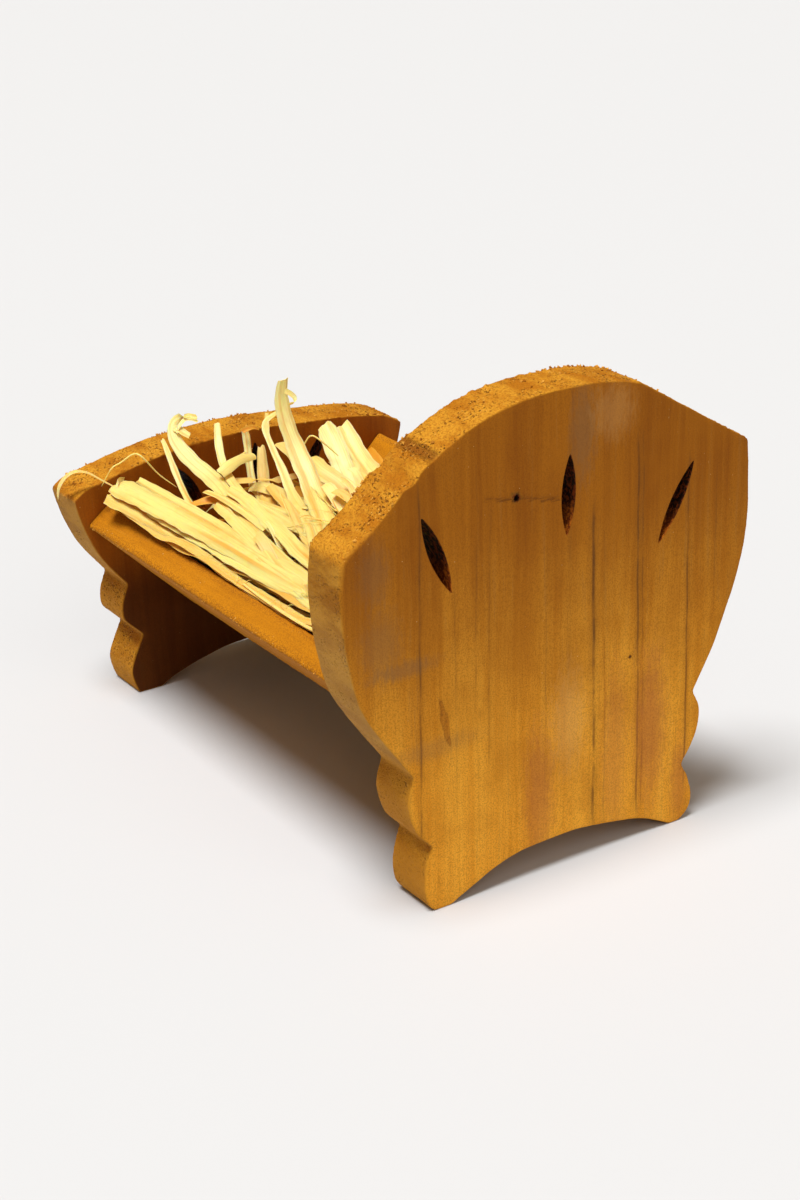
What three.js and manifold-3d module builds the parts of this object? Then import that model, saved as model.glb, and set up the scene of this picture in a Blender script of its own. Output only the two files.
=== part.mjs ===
// Toy manger: a small free-standing hay cradle. Two scroll-sawn end boards stand on two feet each and
// carry a V trough of two leaning side planks with a floor slat between them, filled with raffia hay.
// Units are millimetres. +Z is up, the head (tall) board is at -Y, the foot (low) board at +Y.
// Local x = 0 is the middle of the trough and of the feet.

import * as THREE from 'three';
import { mergeVertices } from 'three/addons/utils/BufferGeometryUtils.js';
import Module from 'manifold-3d';

const wasm = await Module();
wasm.setup();

// ---- driving dimensions --------------------------------------------------------------------------

const BOARD_THICKNESS = 19;
const TROUGH_LENGTH = 180; // clear length between the two end boards
const GAP = 0.3; // left between faces that touch
const CUT_OVERRUN = 1; // how far a cutting tool runs past the face it opens

const PLANK_LEAN = Math.PI / 4; // of the side planks, from vertical
const PLANK_THICKNESS = 10.8;
const PLANK_WIDTH = 60; // down the slope, on the outer face
const PLANK_TOP_BEVEL = THREE.MathUtils.degToRad(7); // the top edge is sawn this much off square
const PLANK_ARRIS = { x: 67.5, z: 73 }; // outer top corner of the left plank, x measured outwards
const RIGHT_PLANK_SLIDE = 3; // the right plank is fixed this much further up its slope

const FLOOR_UNDERSIDE = 40; // height of the floor slat's lower face
const FLOOR_THICKNESS = 10;

const DOWEL_DIAMETER = 5;
const DOWEL_LENGTH = 20;
const DOWEL_CLEARANCE = 0.3;
const DOWEL_SIDES = 12;
const PLANK_DOWELS_AT = [14, 46]; // distances down the plank's slope
const FLOOR_DOWELS_AT = [-12, 12]; // x of the floor slat's dowels

const SLOT_ARC_STEPS = 10;
const NAIL_HOLE = { x: -17.5, z: 134, diameter: 2, depth: 8 };

const HAY_BED_CLEARANCE = 0.8; // between the hay bed and the wood round it
const HAY_BED_SHOULDER = 71; // height at which the bed leaves the planks
const HAY_BED_CROWN = 80;
const HAY_BED_SHORTER = 4; // at each end
const BLADE_THICKNESS = 0.8;
const BLADE_STEP = 6; // length of one step along a hay blade

const COLOURS = {
  board: 0xa8651c,
  sawnEdge: 0xb97a2c,
  plank: 0xc07a22,
  dowel: 0xd8b077,
  hay: 0xf0d878,
};

// ---- materials -----------------------------------------------------------------------------------

const wood = (colour) => new THREE.MeshStandardMaterial({ color: colour, roughness: 0.7, metalness: 0 });
const MATERIALS = {
  board: wood(COLOURS.board),
  plank: wood(COLOURS.plank),
  floor: wood(COLOURS.sawnEdge),
  dowel: wood(COLOURS.dowel),
  hay: new THREE.MeshStandardMaterial({ color: COLOURS.hay, roughness: 0.6, metalness: 0 }),
};

// ---- outlines of the end boards --------------------------------------------------------------------
// Each list is one stretch of the outline as [x outwards, z up]. A stretch is one smooth curve, and the
// stretches meet in corners. They run from the middle of the top, down one side, to the arch's crown.

const FEET_CURVES = {
  firstScallop: [[57.2, 50], [59.4, 42], [58.6, 35.5], [56.2, 29.5], [50.8, 23.5]],
  foot: [[50.8, 23.5], [53, 17.5], [54, 10.5], [53.2, 4], [50.6, 0]],
  pad: [[50.6, 0], [44, 0]],
};

const HEAD_LEFT = [
  [[0, 165.3], [10.7, 165.2], [22.1, 163.6], [32.8, 160.4], [44.3, 155.2], [52.3, 150.2]],
  [[52.3, 150.2], [54.8, 147], [58.2, 146.2]],
  [[58.2, 146.2], [66.7, 138.3], [81, 129.2]],
  [[81, 129.2], [81.8, 117.5], [81.1, 104], [78.6, 88.5], [75.2, 77.4], [68.4, 66], [57.2, 50]],
  FEET_CURVES.firstScallop,
  FEET_CURVES.foot,
  FEET_CURVES.pad,
  [[44, 0], [35.4, 3.8], [25.6, 8], [15.7, 10.3], [3, 10.9], [0, 10.9]],
];

const HEAD_RIGHT = [
  [[0, 165.3], [12.6, 164.9], [23, 163.2], [31.4, 160.8]],
  [[31.4, 160.8], [47, 150.9], [62.4, 141.2], [75.8, 133]],
  [[75.8, 133], [76.9, 114.4], [76.2, 99.4], [72.9, 85], [68.1, 72.6], [63.2, 61.2], [55.4, 47.6]],
  [[55.4, 47.6], [58, 42], [58.5, 37], [56.4, 29.4], [51.2, 21.4]],
  [[51.2, 21.4], [54.7, 14], [55.9, 7.5], [54.4, 3], [50.6, 0]],
  [[50.6, 0], [46.5, 0]],
  [[46.5, 0], [38, 4.4], [27.7, 7.6], [9.5, 10.5], [0, 10.9]],
];

const FOOT_SIDE = [
  [[72, 83.6], [70.6, 77.2], [68, 69.4], [64.4, 61.3], [58.7, 52.8], [53, 45.8]],
  [[53, 45.8], [55.5, 39.5], [56.1, 35], [55.3, 31.4], [52, 27.8], [48, 23.8]],
  [[48, 23.8], [51.6, 16.6], [53.8, 10.5], [53.4, 6], [51.4, 0]],
  [[51.4, 0], [41, 0]],
  [[41, 0], [35.4, 3], [25.3, 6.2], [12.4, 9], [0, 9.8]],
];

const FOOT_TOP_LEFT = [[0, 95.4], [13, 95.3], [31, 94], [48.3, 91.2], [60, 88.6], [67.5, 86.6], [72, 83.6]];
const FOOT_TOP_RIGHT = [[0, 95.4], [9, 94.9], [25, 93.4], [41, 92], [57, 89.6], [66, 87.2], [72, 83.6]];
const FOOT_LEFT = [FOOT_TOP_LEFT, ...FOOT_SIDE];
const FOOT_RIGHT = [FOOT_TOP_RIGHT, ...FOOT_SIDE];

// A slot is a pointed leaf: two arcs that meet at its ends. x and z are its middle, and lean is how far
// its top tips towards +x.
const HEAD_SLOTS = [
  { x: -47.3, z: 122.3, length: 29, width: 5.2, lean: -21.4 },
  { x: 2.5, z: 130.3, length: 27, width: 5.2, lean: 2.5 },
  { x: 45.9, z: 117.8, length: 29, width: 4.6, lean: 28.9 },
];
const FOOT_SLOTS = [
  { x: -23.5, z: 77.5, length: 22, width: 4.6, lean: -30 },
  { x: 5, z: 80, length: 20, width: 4.6, lean: 0 },
  { x: 31, z: 79, length: 20, width: 4.6, lean: 30 },
];

// Hay blades that stand clear of the bed: each a ribbon along its route, with the direction its width
// faces. The routes are in the trough's own frame.
const HAY_BLADES = [
  {
    name: 'hay_blade_tall',
    width: 7,
    across: [1, -0.3, 0],
    route: [[4, 40, 82.5], [0, 44, 95], [-2, 49, 107], [-3, 52, 117], [-4, 51, 128]],
  },
  {
    name: 'hay_blade_tall_short',
    width: 4.5,
    across: [1, 0.2, 0],
    route: [[-7, 34, 82.5], [-6, 42, 87], [-5, 54, 95], [-3, 63, 100], [-1, 71, 104]],
  },
  {
    name: 'hay_blade_curled',
    width: 6,
    across: [1, 0.4, 0],
    route: [[-28, 50, 82], [-28, 60, 88], [-30, 75, 95], [-30, 88, 101], [-28, 89, 108], [-25, 85, 111]],
  },
  {
    name: 'hay_blade_thin',
    width: 2.5,
    across: [1, 0.4, 0],
    route: [[-34, 70, 80.5], [-35, 79, 87], [-36, 86, 94], [-37, 89, 101]],
  },
  {
    name: 'hay_blade_back_left',
    width: 3,
    across: [1, 0, 0],
    route: [[-17, 79, 82], [-16, 82, 94], [-17, 80, 106]],
  },
  {
    name: 'hay_blade_back_middle',
    width: 3,
    across: [1, 0, 0],
    route: [[-8, 74, 82], [-6, 80, 90], [-4, 84, 100]],
  },
  {
    name: 'hay_blade_back_wide',
    width: 5,
    across: [1, 0, 0],
    route: [[-1, 72, 82], [1, 78, 86], [4, 84, 93]],
  },
  {
    name: 'hay_blade_right_inner',
    width: 8,
    across: [1, -0.2, 0],
    route: [[15, 40, 82], [17, 48, 92], [18, 61, 102]],
  },
  {
    name: 'hay_blade_right_outer',
    width: 8,
    across: [1, -0.2, 0],
    route: [[28, 44, 82], [29, 55, 91], [30, 65, 97]],
  },
  {
    name: 'hay_blade_along_top',
    width: 9,
    across: [0.7, 0, 0.7],
    route: [[-44, -82, 79], [-47, -30, 79.5], [-51, 5, 82], [-54, 33, 86], [-57, 62, 88], [-59, 86, 88]],
  },
  {
    name: 'hay_blade_along_low',
    width: 6,
    across: [0.8, 0, 0.6],
    route: [[-35, -82, 82], [-38, -16, 82], [-43, 12, 84], [-46, 33, 87], [-49, 55, 89.5], [-50, 80, 89.5]],
  },
];

// ---- solids and booleans ---------------------------------------------------------------------------

function toSolid(geometry) {
  const bare = geometry.clone();
  bare.deleteAttribute('normal');
  bare.deleteAttribute('uv');
  const merged = mergeVertices(bare, 1e-4);
  return new wasm.Manifold(new wasm.Mesh({
    numProp: 3,
    vertProperties: new Float32Array(merged.attributes.position.array),
    triVerts: new Uint32Array(merged.index.array),
  }));
}

function toGeometry(solid) {
  const mesh = solid.getMesh();
  const geometry = new THREE.BufferGeometry();
  geometry.setAttribute('position', new THREE.BufferAttribute(new Float32Array(mesh.vertProperties), 3));
  geometry.setIndex(new THREE.BufferAttribute(new Uint32Array(mesh.triVerts), 1));
  return geometry;
}

function cutAway(geometry, tools) {
  const solid = tools.reduce((rest, tool) => rest.subtract(toSolid(tool)), toSolid(geometry));
  return toGeometry(solid);
}

function namedMesh(name, geometry, material) {
  geometry.computeVertexNormals();
  const mesh = new THREE.Mesh(geometry, material);
  mesh.name = name;
  return mesh;
}

// Extrudes a shape drawn in (x, z) along +Y, from y = start over the given length.
function extrudeAlongY(shape, start, length, curveSegments = 8) {
  const geometry = new THREE.ExtrudeGeometry(shape, { depth: length, bevelEnabled: false, curveSegments });
  geometry.rotateX(Math.PI / 2); // (x, z, depth) becomes (x, -depth, z)
  geometry.translate(0, start + length, 0);
  return geometry;
}

function polygon(points) {
  return new THREE.Shape(points.map(([x, z]) => new THREE.Vector2(x, z)));
}

// ---- end boards --------------------------------------------------------------------------------------

// Joins the stretches of one side into points, each stretch smooth in itself.
function sidePoints(stretches, sign) {
  return stretches.flatMap((stretch) => {
    const curve = new THREE.SplineCurve(stretch.map(([x, z]) => new THREE.Vector2(sign * x, z)));
    const steps = stretch.length > 2 ? (stretch.length - 1) * 3 : 1;
    return curve.getPoints(steps).slice(0, -1);
  });
}

function boardShape(left, right) {
  const downLeft = sidePoints(left, -1);
  const downRight = sidePoints(right, 1).slice(1);
  const crown = new THREE.Vector2(0, left.at(-1).at(-1)[1]);
  return new THREE.Shape([...downLeft, crown, ...downRight.reverse()]);
}

function slotCutter(slot, boardStart) {
  const half = slot.length / 2;
  const sag = slot.width / 2;
  const radius = (half * half + sag * sag) / (2 * sag);
  const halfAngle = Math.asin(half / radius);
  const points = [];
  for (const side of [1, -1]) {
    for (let i = 0; i < SLOT_ARC_STEPS; i += 1) {
      const angle = halfAngle * (1 - (2 * i) / SLOT_ARC_STEPS);
      points.push([side * (radius * Math.cos(angle) - (radius - sag)), side * radius * Math.sin(angle)]);
    }
  }
  const leaf = polygon(points.reverse());
  const cutter = extrudeAlongY(leaf, boardStart - CUT_OVERRUN, BOARD_THICKNESS + 2 * CUT_OVERRUN);
  cutter.rotateY(THREE.MathUtils.degToRad(slot.lean));
  cutter.translate(slot.x, 0, slot.z);
  return cutter;
}

function rodAlongY(diameter, length, x, yMiddle, z) {
  const rod = new THREE.CylinderGeometry(diameter / 2, diameter / 2, length, DOWEL_SIDES);
  rod.translate(x, yMiddle, z);
  return rod;
}

function endBoard(name, boardStart, outline, slots, holes) {
  const blank = extrudeAlongY(outline, boardStart, BOARD_THICKNESS);
  const cutters = [...slots.map((slot) => slotCutter(slot, boardStart)), ...holes];
  return namedMesh(name, cutAway(blank, cutters), MATERIALS.board);
}

// ---- trough planks and floor -----------------------------------------------------------------------

// A point of a side plank's section, `down` the slope from its outer top corner and `inwards` through
// its thickness. side is -1 for the left plank and 1 for the right.
function plankPoint(side, down, inwards) {
  const slide = side > 0 ? RIGHT_PLANK_SLIDE : 0;
  const along = down - slide;
  const x = PLANK_ARRIS.x - along * Math.sin(PLANK_LEAN) - inwards * Math.cos(PLANK_LEAN);
  const z = PLANK_ARRIS.z - along * Math.cos(PLANK_LEAN) + inwards * Math.sin(PLANK_LEAN);
  return [side * x, z];
}

function plankShape(side) {
  const topSetback = PLANK_THICKNESS * Math.tan(PLANK_TOP_BEVEL);
  return polygon([
    plankPoint(side, 0, 0),
    plankPoint(side, topSetback, PLANK_THICKNESS),
    plankPoint(side, PLANK_WIDTH, PLANK_THICKNESS),
    plankPoint(side, PLANK_WIDTH, 0),
  ]);
}

// Half the width between the planks' inner faces at height z.
function troughHalfWidth(z) {
  const [x, height] = plankPoint(-1, 0, PLANK_THICKNESS);
  return -x - (height - z) * Math.tan(PLANK_LEAN);
}

function floorShape() {
  const clearance = GAP / Math.cos(PLANK_LEAN);
  const top = FLOOR_UNDERSIDE + FLOOR_THICKNESS;
  const low = troughHalfWidth(FLOOR_UNDERSIDE) - clearance;
  const high = troughHalfWidth(top) - clearance;
  return polygon([[-low, FLOOR_UNDERSIDE], [low, FLOOR_UNDERSIDE], [high, top], [-high, top]]);
}

const ENDS = [
  { name: 'head', sign: -1 },
  { name: 'foot', sign: 1 },
];

// Where each trough piece is pinned, as [x, z] seen along the trough.
const PINNED = {
  left_plank: PLANK_DOWELS_AT.map((down) => plankPoint(-1, down, PLANK_THICKNESS / 2)),
  right_plank: PLANK_DOWELS_AT.map((down) => plankPoint(1, down, PLANK_THICKNESS / 2)),
  floor: FLOOR_DOWELS_AT.map((x) => [x, FLOOR_UNDERSIDE + FLOOR_THICKNESS / 2]),
};

function dowelHolesAt(end, spots) {
  const face = end.sign * (TROUGH_LENGTH / 2);
  const diameter = DOWEL_DIAMETER + 2 * DOWEL_CLEARANCE;
  const length = DOWEL_LENGTH + 2 * DOWEL_CLEARANCE;
  return spots.map(([x, z]) => rodAlongY(diameter, length, x, face, z));
}

function troughPiece(name, shape, spots, material) {
  const length = TROUGH_LENGTH - 2 * GAP;
  const blank = extrudeAlongY(shape, -length / 2, length);
  const holes = ENDS.flatMap((end) => dowelHolesAt(end, spots));
  return namedMesh(name, cutAway(blank, holes), material);
}

function dowels() {
  return ENDS.flatMap((end) => Object.entries(PINNED).flatMap(([piece, spots]) => spots.map(([x, z], i) => {
    const face = end.sign * (TROUGH_LENGTH / 2);
    const rod = rodAlongY(DOWEL_DIAMETER, DOWEL_LENGTH, x, face, z);
    return namedMesh(`dowel_${end.name}_${piece}_${i + 1}`, rod, MATERIALS.dowel);
  })));
}

// ---- hay -------------------------------------------------------------------------------------------

function hayBed() {
  const floorTop = FLOOR_UNDERSIDE + FLOOR_THICKNESS + HAY_BED_CLEARANCE;
  const inset = HAY_BED_CLEARANCE / Math.cos(PLANK_LEAN);
  const low = troughHalfWidth(floorTop) - inset;
  const shoulder = troughHalfWidth(HAY_BED_SHOULDER) - inset;
  const shape = new THREE.Shape();
  shape.moveTo(-low, floorTop);
  shape.lineTo(low, floorTop);
  shape.lineTo(shoulder, HAY_BED_SHOULDER);
  shape.splineThru([
    new THREE.Vector2(shoulder * 0.6, HAY_BED_CROWN - 2),
    new THREE.Vector2(0, HAY_BED_CROWN),
    new THREE.Vector2(-shoulder * 0.6, HAY_BED_CROWN - 2),
    new THREE.Vector2(-shoulder, HAY_BED_SHOULDER),
  ]);
  const length = TROUGH_LENGTH - 2 * HAY_BED_SHORTER;
  return namedMesh('hay_bed', extrudeAlongY(shape, -length / 2, length), MATERIALS.hay);
}

// A flat ribbon along a smooth route, closed at both ends.
function hayBlade({ name, width, across, route }) {
  const curve = new THREE.CatmullRomCurve3(route.map((point) => new THREE.Vector3(...point)));
  const steps = Math.ceil(curve.getLength() / BLADE_STEP);
  const wide = new THREE.Vector3(...across);
  const corners = [[-1, -1], [1, -1], [1, 1], [-1, 1]];
  const positions = [];
  const faces = [];
  for (let i = 0; i <= steps; i += 1) {
    const centre = curve.getPointAt(i / steps);
    const along = curve.getTangentAt(i / steps);
    const side = wide.clone().addScaledVector(along, -wide.dot(along)).normalize();
    const through = along.clone().cross(side);
    for (const [s, t] of corners) {
      const corner = centre.clone();
      corner.addScaledVector(side, (s * width) / 2);
      corner.addScaledVector(through, (t * BLADE_THICKNESS) / 2);
      positions.push(...corner);
    }
  }
  const quad = (a, b, c, d) => faces.push(a, b, c, a, c, d);
  for (let i = 0; i < steps; i += 1) {
    for (let k = 0; k < corners.length; k += 1) {
      const next = (k + 1) % corners.length;
      const near = i * corners.length;
      const far = near + corners.length;
      quad(near + k, near + next, far + next, far + k);
    }
  }
  const last = steps * corners.length;
  quad(3, 2, 1, 0);
  quad(last, last + 1, last + 2, last + 3);
  const geometry = new THREE.BufferGeometry();
  geometry.setAttribute('position', new THREE.Float32BufferAttribute(positions, 3));
  geometry.setIndex(faces);
  return namedMesh(name, geometry, MATERIALS.hay);
}

// ---- assembly --------------------------------------------------------------------------------------

const [headEnd, footEnd] = ENDS;
const headStart = -TROUGH_LENGTH / 2 - BOARD_THICKNESS;
const footStart = TROUGH_LENGTH / 2;
const allSpots = Object.values(PINNED).flat();
const nailHole = rodAlongY(
  NAIL_HOLE.diameter,
  NAIL_HOLE.depth + CUT_OVERRUN,
  NAIL_HOLE.x,
  headStart + (NAIL_HOLE.depth - CUT_OVERRUN) / 2,
  NAIL_HOLE.z,
);
const headHoles = [...dowelHolesAt(headEnd, allSpots), nailHole];
const footHoles = dowelHolesAt(footEnd, allSpots);

const manger = new THREE.Group();
manger.add(endBoard('head_board', headStart, boardShape(HEAD_LEFT, HEAD_RIGHT), HEAD_SLOTS, headHoles));
manger.add(endBoard('foot_board', footStart, boardShape(FOOT_LEFT, FOOT_RIGHT), FOOT_SLOTS, footHoles));
manger.add(troughPiece('left_side_plank', plankShape(-1), PINNED.left_plank, MATERIALS.plank));
manger.add(troughPiece('right_side_plank', plankShape(1), PINNED.right_plank, MATERIALS.plank));
manger.add(troughPiece('trough_floor_slat', floorShape(), PINNED.floor, MATERIALS.floor));
manger.add(...dowels());
manger.add(hayBed());
manger.add(...HAY_BLADES.map(hayBlade));

// The origin is under the middle of the whole object's box. The head board's hand-cut shoulders are not
// quite alike, so that middle is a little to the right of the trough's own.
const box = new THREE.Box3().setFromObject(manger);
manger.position.x = -(box.min.x + box.max.x) / 2;

export default manger;
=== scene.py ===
"""Looks of the toy manger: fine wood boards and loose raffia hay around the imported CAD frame.

Lengths in this file are millimetres, unless a name ends in _m. A mesh is made in metres by to_object.
"""

import math

import bmesh
import bpy
import numpy as np
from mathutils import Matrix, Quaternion, Vector, geometry


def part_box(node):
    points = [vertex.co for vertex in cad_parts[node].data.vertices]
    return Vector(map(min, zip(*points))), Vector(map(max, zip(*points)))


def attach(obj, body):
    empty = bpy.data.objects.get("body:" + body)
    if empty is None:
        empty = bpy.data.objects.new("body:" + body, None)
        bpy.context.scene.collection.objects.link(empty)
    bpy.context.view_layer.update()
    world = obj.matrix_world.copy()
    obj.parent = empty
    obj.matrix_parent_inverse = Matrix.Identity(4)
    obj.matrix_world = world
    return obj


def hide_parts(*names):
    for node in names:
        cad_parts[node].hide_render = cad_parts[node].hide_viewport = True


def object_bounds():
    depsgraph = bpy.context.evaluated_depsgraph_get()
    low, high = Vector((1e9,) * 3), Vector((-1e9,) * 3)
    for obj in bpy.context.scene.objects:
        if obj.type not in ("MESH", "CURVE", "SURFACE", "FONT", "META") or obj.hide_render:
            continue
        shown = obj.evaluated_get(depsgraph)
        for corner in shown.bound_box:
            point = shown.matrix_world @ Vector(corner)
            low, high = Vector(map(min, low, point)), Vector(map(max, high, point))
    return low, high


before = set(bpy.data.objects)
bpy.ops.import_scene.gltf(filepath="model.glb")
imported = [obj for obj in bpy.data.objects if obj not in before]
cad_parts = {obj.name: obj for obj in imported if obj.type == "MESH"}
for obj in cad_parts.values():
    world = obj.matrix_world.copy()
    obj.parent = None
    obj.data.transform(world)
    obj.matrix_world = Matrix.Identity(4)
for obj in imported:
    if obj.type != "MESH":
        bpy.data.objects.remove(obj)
CAD_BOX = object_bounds()

MM = 0.001  # metres in a millimetre
WOOD_BODY = "manger"
HAY_BODY = "hay"


# ---- camera, floor and light ---------------------------------------------------------------------

CAMERA_AZIMUTH = -33.18
CAMERA_ELEVATION = 23.68
CAMERA_ROLL = -1.44
CAMERA_DISTANCE = 832.5
CAMERA_LENS = 70.98
CAMERA_AIM = Vector((3.9, -13.7, -21.1))  # from the middle of the CAD box
SENSOR = 36.0


def in_scene(name, data):
    """A new object of that data, linked to the scene."""
    made = bpy.data.objects.new(name, data)
    bpy.context.scene.collection.objects.link(made)
    return made


def middle_of_box():
    return (CAD_BOX[0] + CAD_BOX[1]) / 2


def make_camera():
    azimuth = math.radians(CAMERA_AZIMUTH)
    elevation = math.radians(CAMERA_ELEVATION)
    back = Vector((
        math.sin(azimuth) * math.cos(elevation),
        -math.cos(azimuth) * math.cos(elevation),
        math.sin(elevation),
    ))
    data = bpy.data.cameras.new("camera")
    data.lens = CAMERA_LENS
    data.sensor_width = SENSOR
    data.clip_start = 0.01
    data.clip_end = 50
    camera = in_scene("camera", data)
    camera.location = middle_of_box() + CAMERA_AIM * MM + back * CAMERA_DISTANCE * MM
    camera.rotation_mode = "QUATERNION"
    roll = Quaternion((0, 0, 1), math.radians(CAMERA_ROLL))
    camera.rotation_quaternion = (-back).to_track_quat("-Z", "Y") @ roll
    bpy.context.scene.camera = camera


FLOOR_HALF_M = 12.0
FLOOR_COLOUR = (0.59, 0.59, 0.59, 1)
SUN_COLOUR = (0.955, 0.975, 1.0)
SUNS = [  # name, direction towards it, strength, angle that it spans in degrees
    ("key", Vector((-0.27, -0.06, 0.95)), 4.15, 24),
    ("fill", Vector((-0.12, -0.77, 0.62)), 0.60, 50),
]
WORLD_STRENGTH = 0.22
WORLD_COLOUR = (1.0, 0.78, 0.52, 1)


def make_floor():
    mesh = bpy.data.meshes.new("floor")
    corners = [(-1, -1), (1, -1), (1, 1), (-1, 1)]
    mesh.from_pydata([(x * FLOOR_HALF_M, y * FLOOR_HALF_M, 0) for x, y in corners], [], [(0, 1, 2, 3)])
    floor = in_scene("floor", mesh)
    material = bpy.data.materials.new("floor_pale")
    material.use_nodes = True
    shader = material.node_tree.nodes["Principled BSDF"]
    shader.inputs["Base Color"].default_value = FLOOR_COLOUR
    shader.inputs["Roughness"].default_value = 0.9
    mesh.materials.append(material)


def make_light():
    for name, towards, strength, angle in SUNS:
        sun_data = bpy.data.lights.new(name, "SUN")
        sun_data.energy = strength
        sun_data.color = SUN_COLOUR
        sun_data.angle = math.radians(angle)
        sun = in_scene(name, sun_data)
        sun.rotation_mode = "QUATERNION"
        sun.rotation_quaternion = (-towards).to_track_quat("-Z", "Y")

    world = bpy.data.worlds.new("studio")
    world.use_nodes = True
    background = world.node_tree.nodes["Background"]
    background.inputs["Color"].default_value = WORLD_COLOUR
    background.inputs["Strength"].default_value = WORLD_STRENGTH
    bpy.context.scene.world = world
    bpy.context.scene.view_settings.view_transform = "Standard"


# ---- numbers ---------------------------------------------------------------------------------------


def lattice_noise(points, cell, seed):
    """Smooth noise from -1 to 1 with features of about one cell, the same on every run."""
    scaled = np.asarray(points, float) / cell
    base = np.floor(scaled).astype(np.int64)
    part = scaled - base
    part = part * part * (3 - 2 * part)
    total = np.zeros(len(scaled))
    for corner in range(8):
        step = np.array([corner & 1, (corner >> 1) & 1, corner >> 2])
        key = (base + step) * np.array([73856093, 19349663, 83492791])
        mixed = (key[:, 0] ^ key[:, 1] ^ key[:, 2]) + seed * 2654435761
        mixed = (mixed ^ (mixed >> 15)) * 2246822519
        mixed = (mixed ^ (mixed >> 13)) * 3266489917
        value = ((mixed ^ (mixed >> 16)) & 0xFFFF) / 32767.5 - 1
        weight = np.prod(np.where(step == 1, part, 1 - part), axis=1)
        total += weight * value
    return total


def smoothstep(low, high, value):
    t = np.clip((np.asarray(value, float) - low) / (high - low), 0, 1)
    return t * t * (3 - 2 * t)


def cross_z(a, b):
    return a[..., 0] * b[..., 1] - a[..., 1] * b[..., 0]


def distance_along(points):
    """How far each point of a row is from the first, along the row."""
    return np.concatenate([[0], np.cumsum(np.linalg.norm(np.diff(points, axis=0), axis=1))])


def to_the_right(along):
    """Flat directions turned a quarter clockwise."""
    return np.stack([along[:, 1], -along[:, 0]], 1)


def running_mean(values, reach):
    """Each value averaged with as many on both sides of it as reach says."""
    count = 2 * reach + 1
    return np.convolve(np.pad(values, reach, mode="edge"), np.ones(count) / count, "valid")


# ---- fine prisms from the CAD wood -----------------------------------------------------------------
# Every wooden piece is a section in x and z, run along y, with blind holes in its ends. The fine
# meshes keep that section and those holes, and add eased arrises and sawn texture.

CORNER_TURN = math.radians(24)
ON_CAP_M = 2e-5
SAME_POINT_M = 2e-6
SAME_LOOP = 0.2
ARRIS_STEPS = 4
SMOOTH_PER_POINT = 10


def cap_loops(node, plane):
    """The closed loops, in x and z, that bound a CAD node's flat end at y = plane (in metres)."""
    mesh = bmesh.new()
    mesh.from_mesh(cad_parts[node].data)
    bmesh.ops.remove_doubles(mesh, verts=mesh.verts, dist=SAME_POINT_M)

    def on_cap(face):
        return all(abs(v.co.y - plane) < ON_CAP_M for v in face.verts)

    follows = {}
    for edge in mesh.edges:
        faces = edge.link_faces
        if len(faces) == 2 and on_cap(faces[0]) != on_cap(faces[1]):
            a, b = edge.verts
            follows.setdefault(a.index, []).append(b.index)
            follows.setdefault(b.index, []).append(a.index)
    mesh.verts.ensure_lookup_table()
    loops = []
    while follows:
        start = min(follows)
        loop = [start]
        here = start
        while True:
            step = [n for n in follows.pop(here) if n in follows and n != here]
            if not step:
                break
            here = step[0]
            loop.append(here)
        loops.append(np.array([[mesh.verts[i].co.x, mesh.verts[i].co.z] for i in loop]) / MM)
    mesh.free()
    return loops


def signed_area(loop):
    return 0.5 * float(np.sum(cross_z(loop, np.roll(loop, -1, 0))))


def same_loop(a, b):
    """Whether two ends' loops bound the same box, to within SAME_LOOP."""
    return all(np.abs(side(a, 0) - side(b, 0)).max() < SAME_LOOP for side in (np.min, np.max))


def smooth_run(points):
    """A Catmull-Rom curve through the points, which starts and ends on the first and the last."""
    if len(points) < 3:
        return points
    ends = np.vstack([2 * points[0] - points[1], points, 2 * points[-1] - points[-2]])
    out = []
    for i in range(len(points) - 1):
        a, b, c, d = ends[i:i + 4]
        for k in range(SMOOTH_PER_POINT):
            t = k / SMOOTH_PER_POINT
            out.append(0.5 * (2 * b + (c - a) * t + (2 * a - 5 * b + 4 * c - d) * t * t
                              + (3 * b - a - 3 * c + d) * t ** 3))
    out.append(points[-1])
    return np.array(out)


def resample(loop, spacing):
    """The loop in steps of about the spacing, with its corners sharp and its stretches smooth."""
    before = loop - np.roll(loop, 1, 0)
    after = np.roll(loop, -1, 0) - loop
    turn = np.abs(np.arctan2(cross_z(before, after), np.sum(before * after, 1)))
    corners = list(np.nonzero(turn > CORNER_TURN)[0])
    if not corners:
        corners = [0]
    out = []
    for a, b in zip(corners, corners[1:] + [corners[0] + len(loop)]):
        run = smooth_run(loop[np.arange(a, b + 1) % len(loop)])
        reach = distance_along(run)
        count = max(1, round(reach[-1] / spacing))
        at = np.linspace(0, reach[-1], count, endpoint=False)
        out.append(np.stack([np.interp(at, reach, run[:, k]) for k in (0, 1)], 1))
    return np.vstack(out)


def ease(loop, rounds):
    """Takes the sharpness off a loop's corners, and moves its straights by nothing."""
    for _ in range(rounds):
        loop = 0.5 * loop + 0.25 * (np.roll(loop, 1, 0) + np.roll(loop, -1, 0))
    return loop


def soften_near(loop, place, near, rounds):
    """Wears the outline round within a distance of one place."""
    weight = smoothstep(near, near * 0.4, np.linalg.norm(loop - place, axis=1))[:, None]
    for _ in range(rounds):
        loop = loop + weight * 0.25 * (np.roll(loop, 1, 0) + np.roll(loop, -1, 0) - 2 * loop)
    return loop


def corner_nearness(loop):
    """1 at the outline's sharp corners, falling to 0 a little way from them."""
    reach = 3
    ahead = np.roll(loop, -reach, 0) - loop
    behind = loop - np.roll(loop, reach, 0)
    turn = np.abs(np.arctan2(cross_z(behind, ahead), np.sum(behind * ahead, 1)))
    sharp = smoothstep(0.35, 1.0, turn)
    return np.maximum.reduce([np.roll(sharp, k, 0) for k in (-1, 0, 1)])


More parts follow.
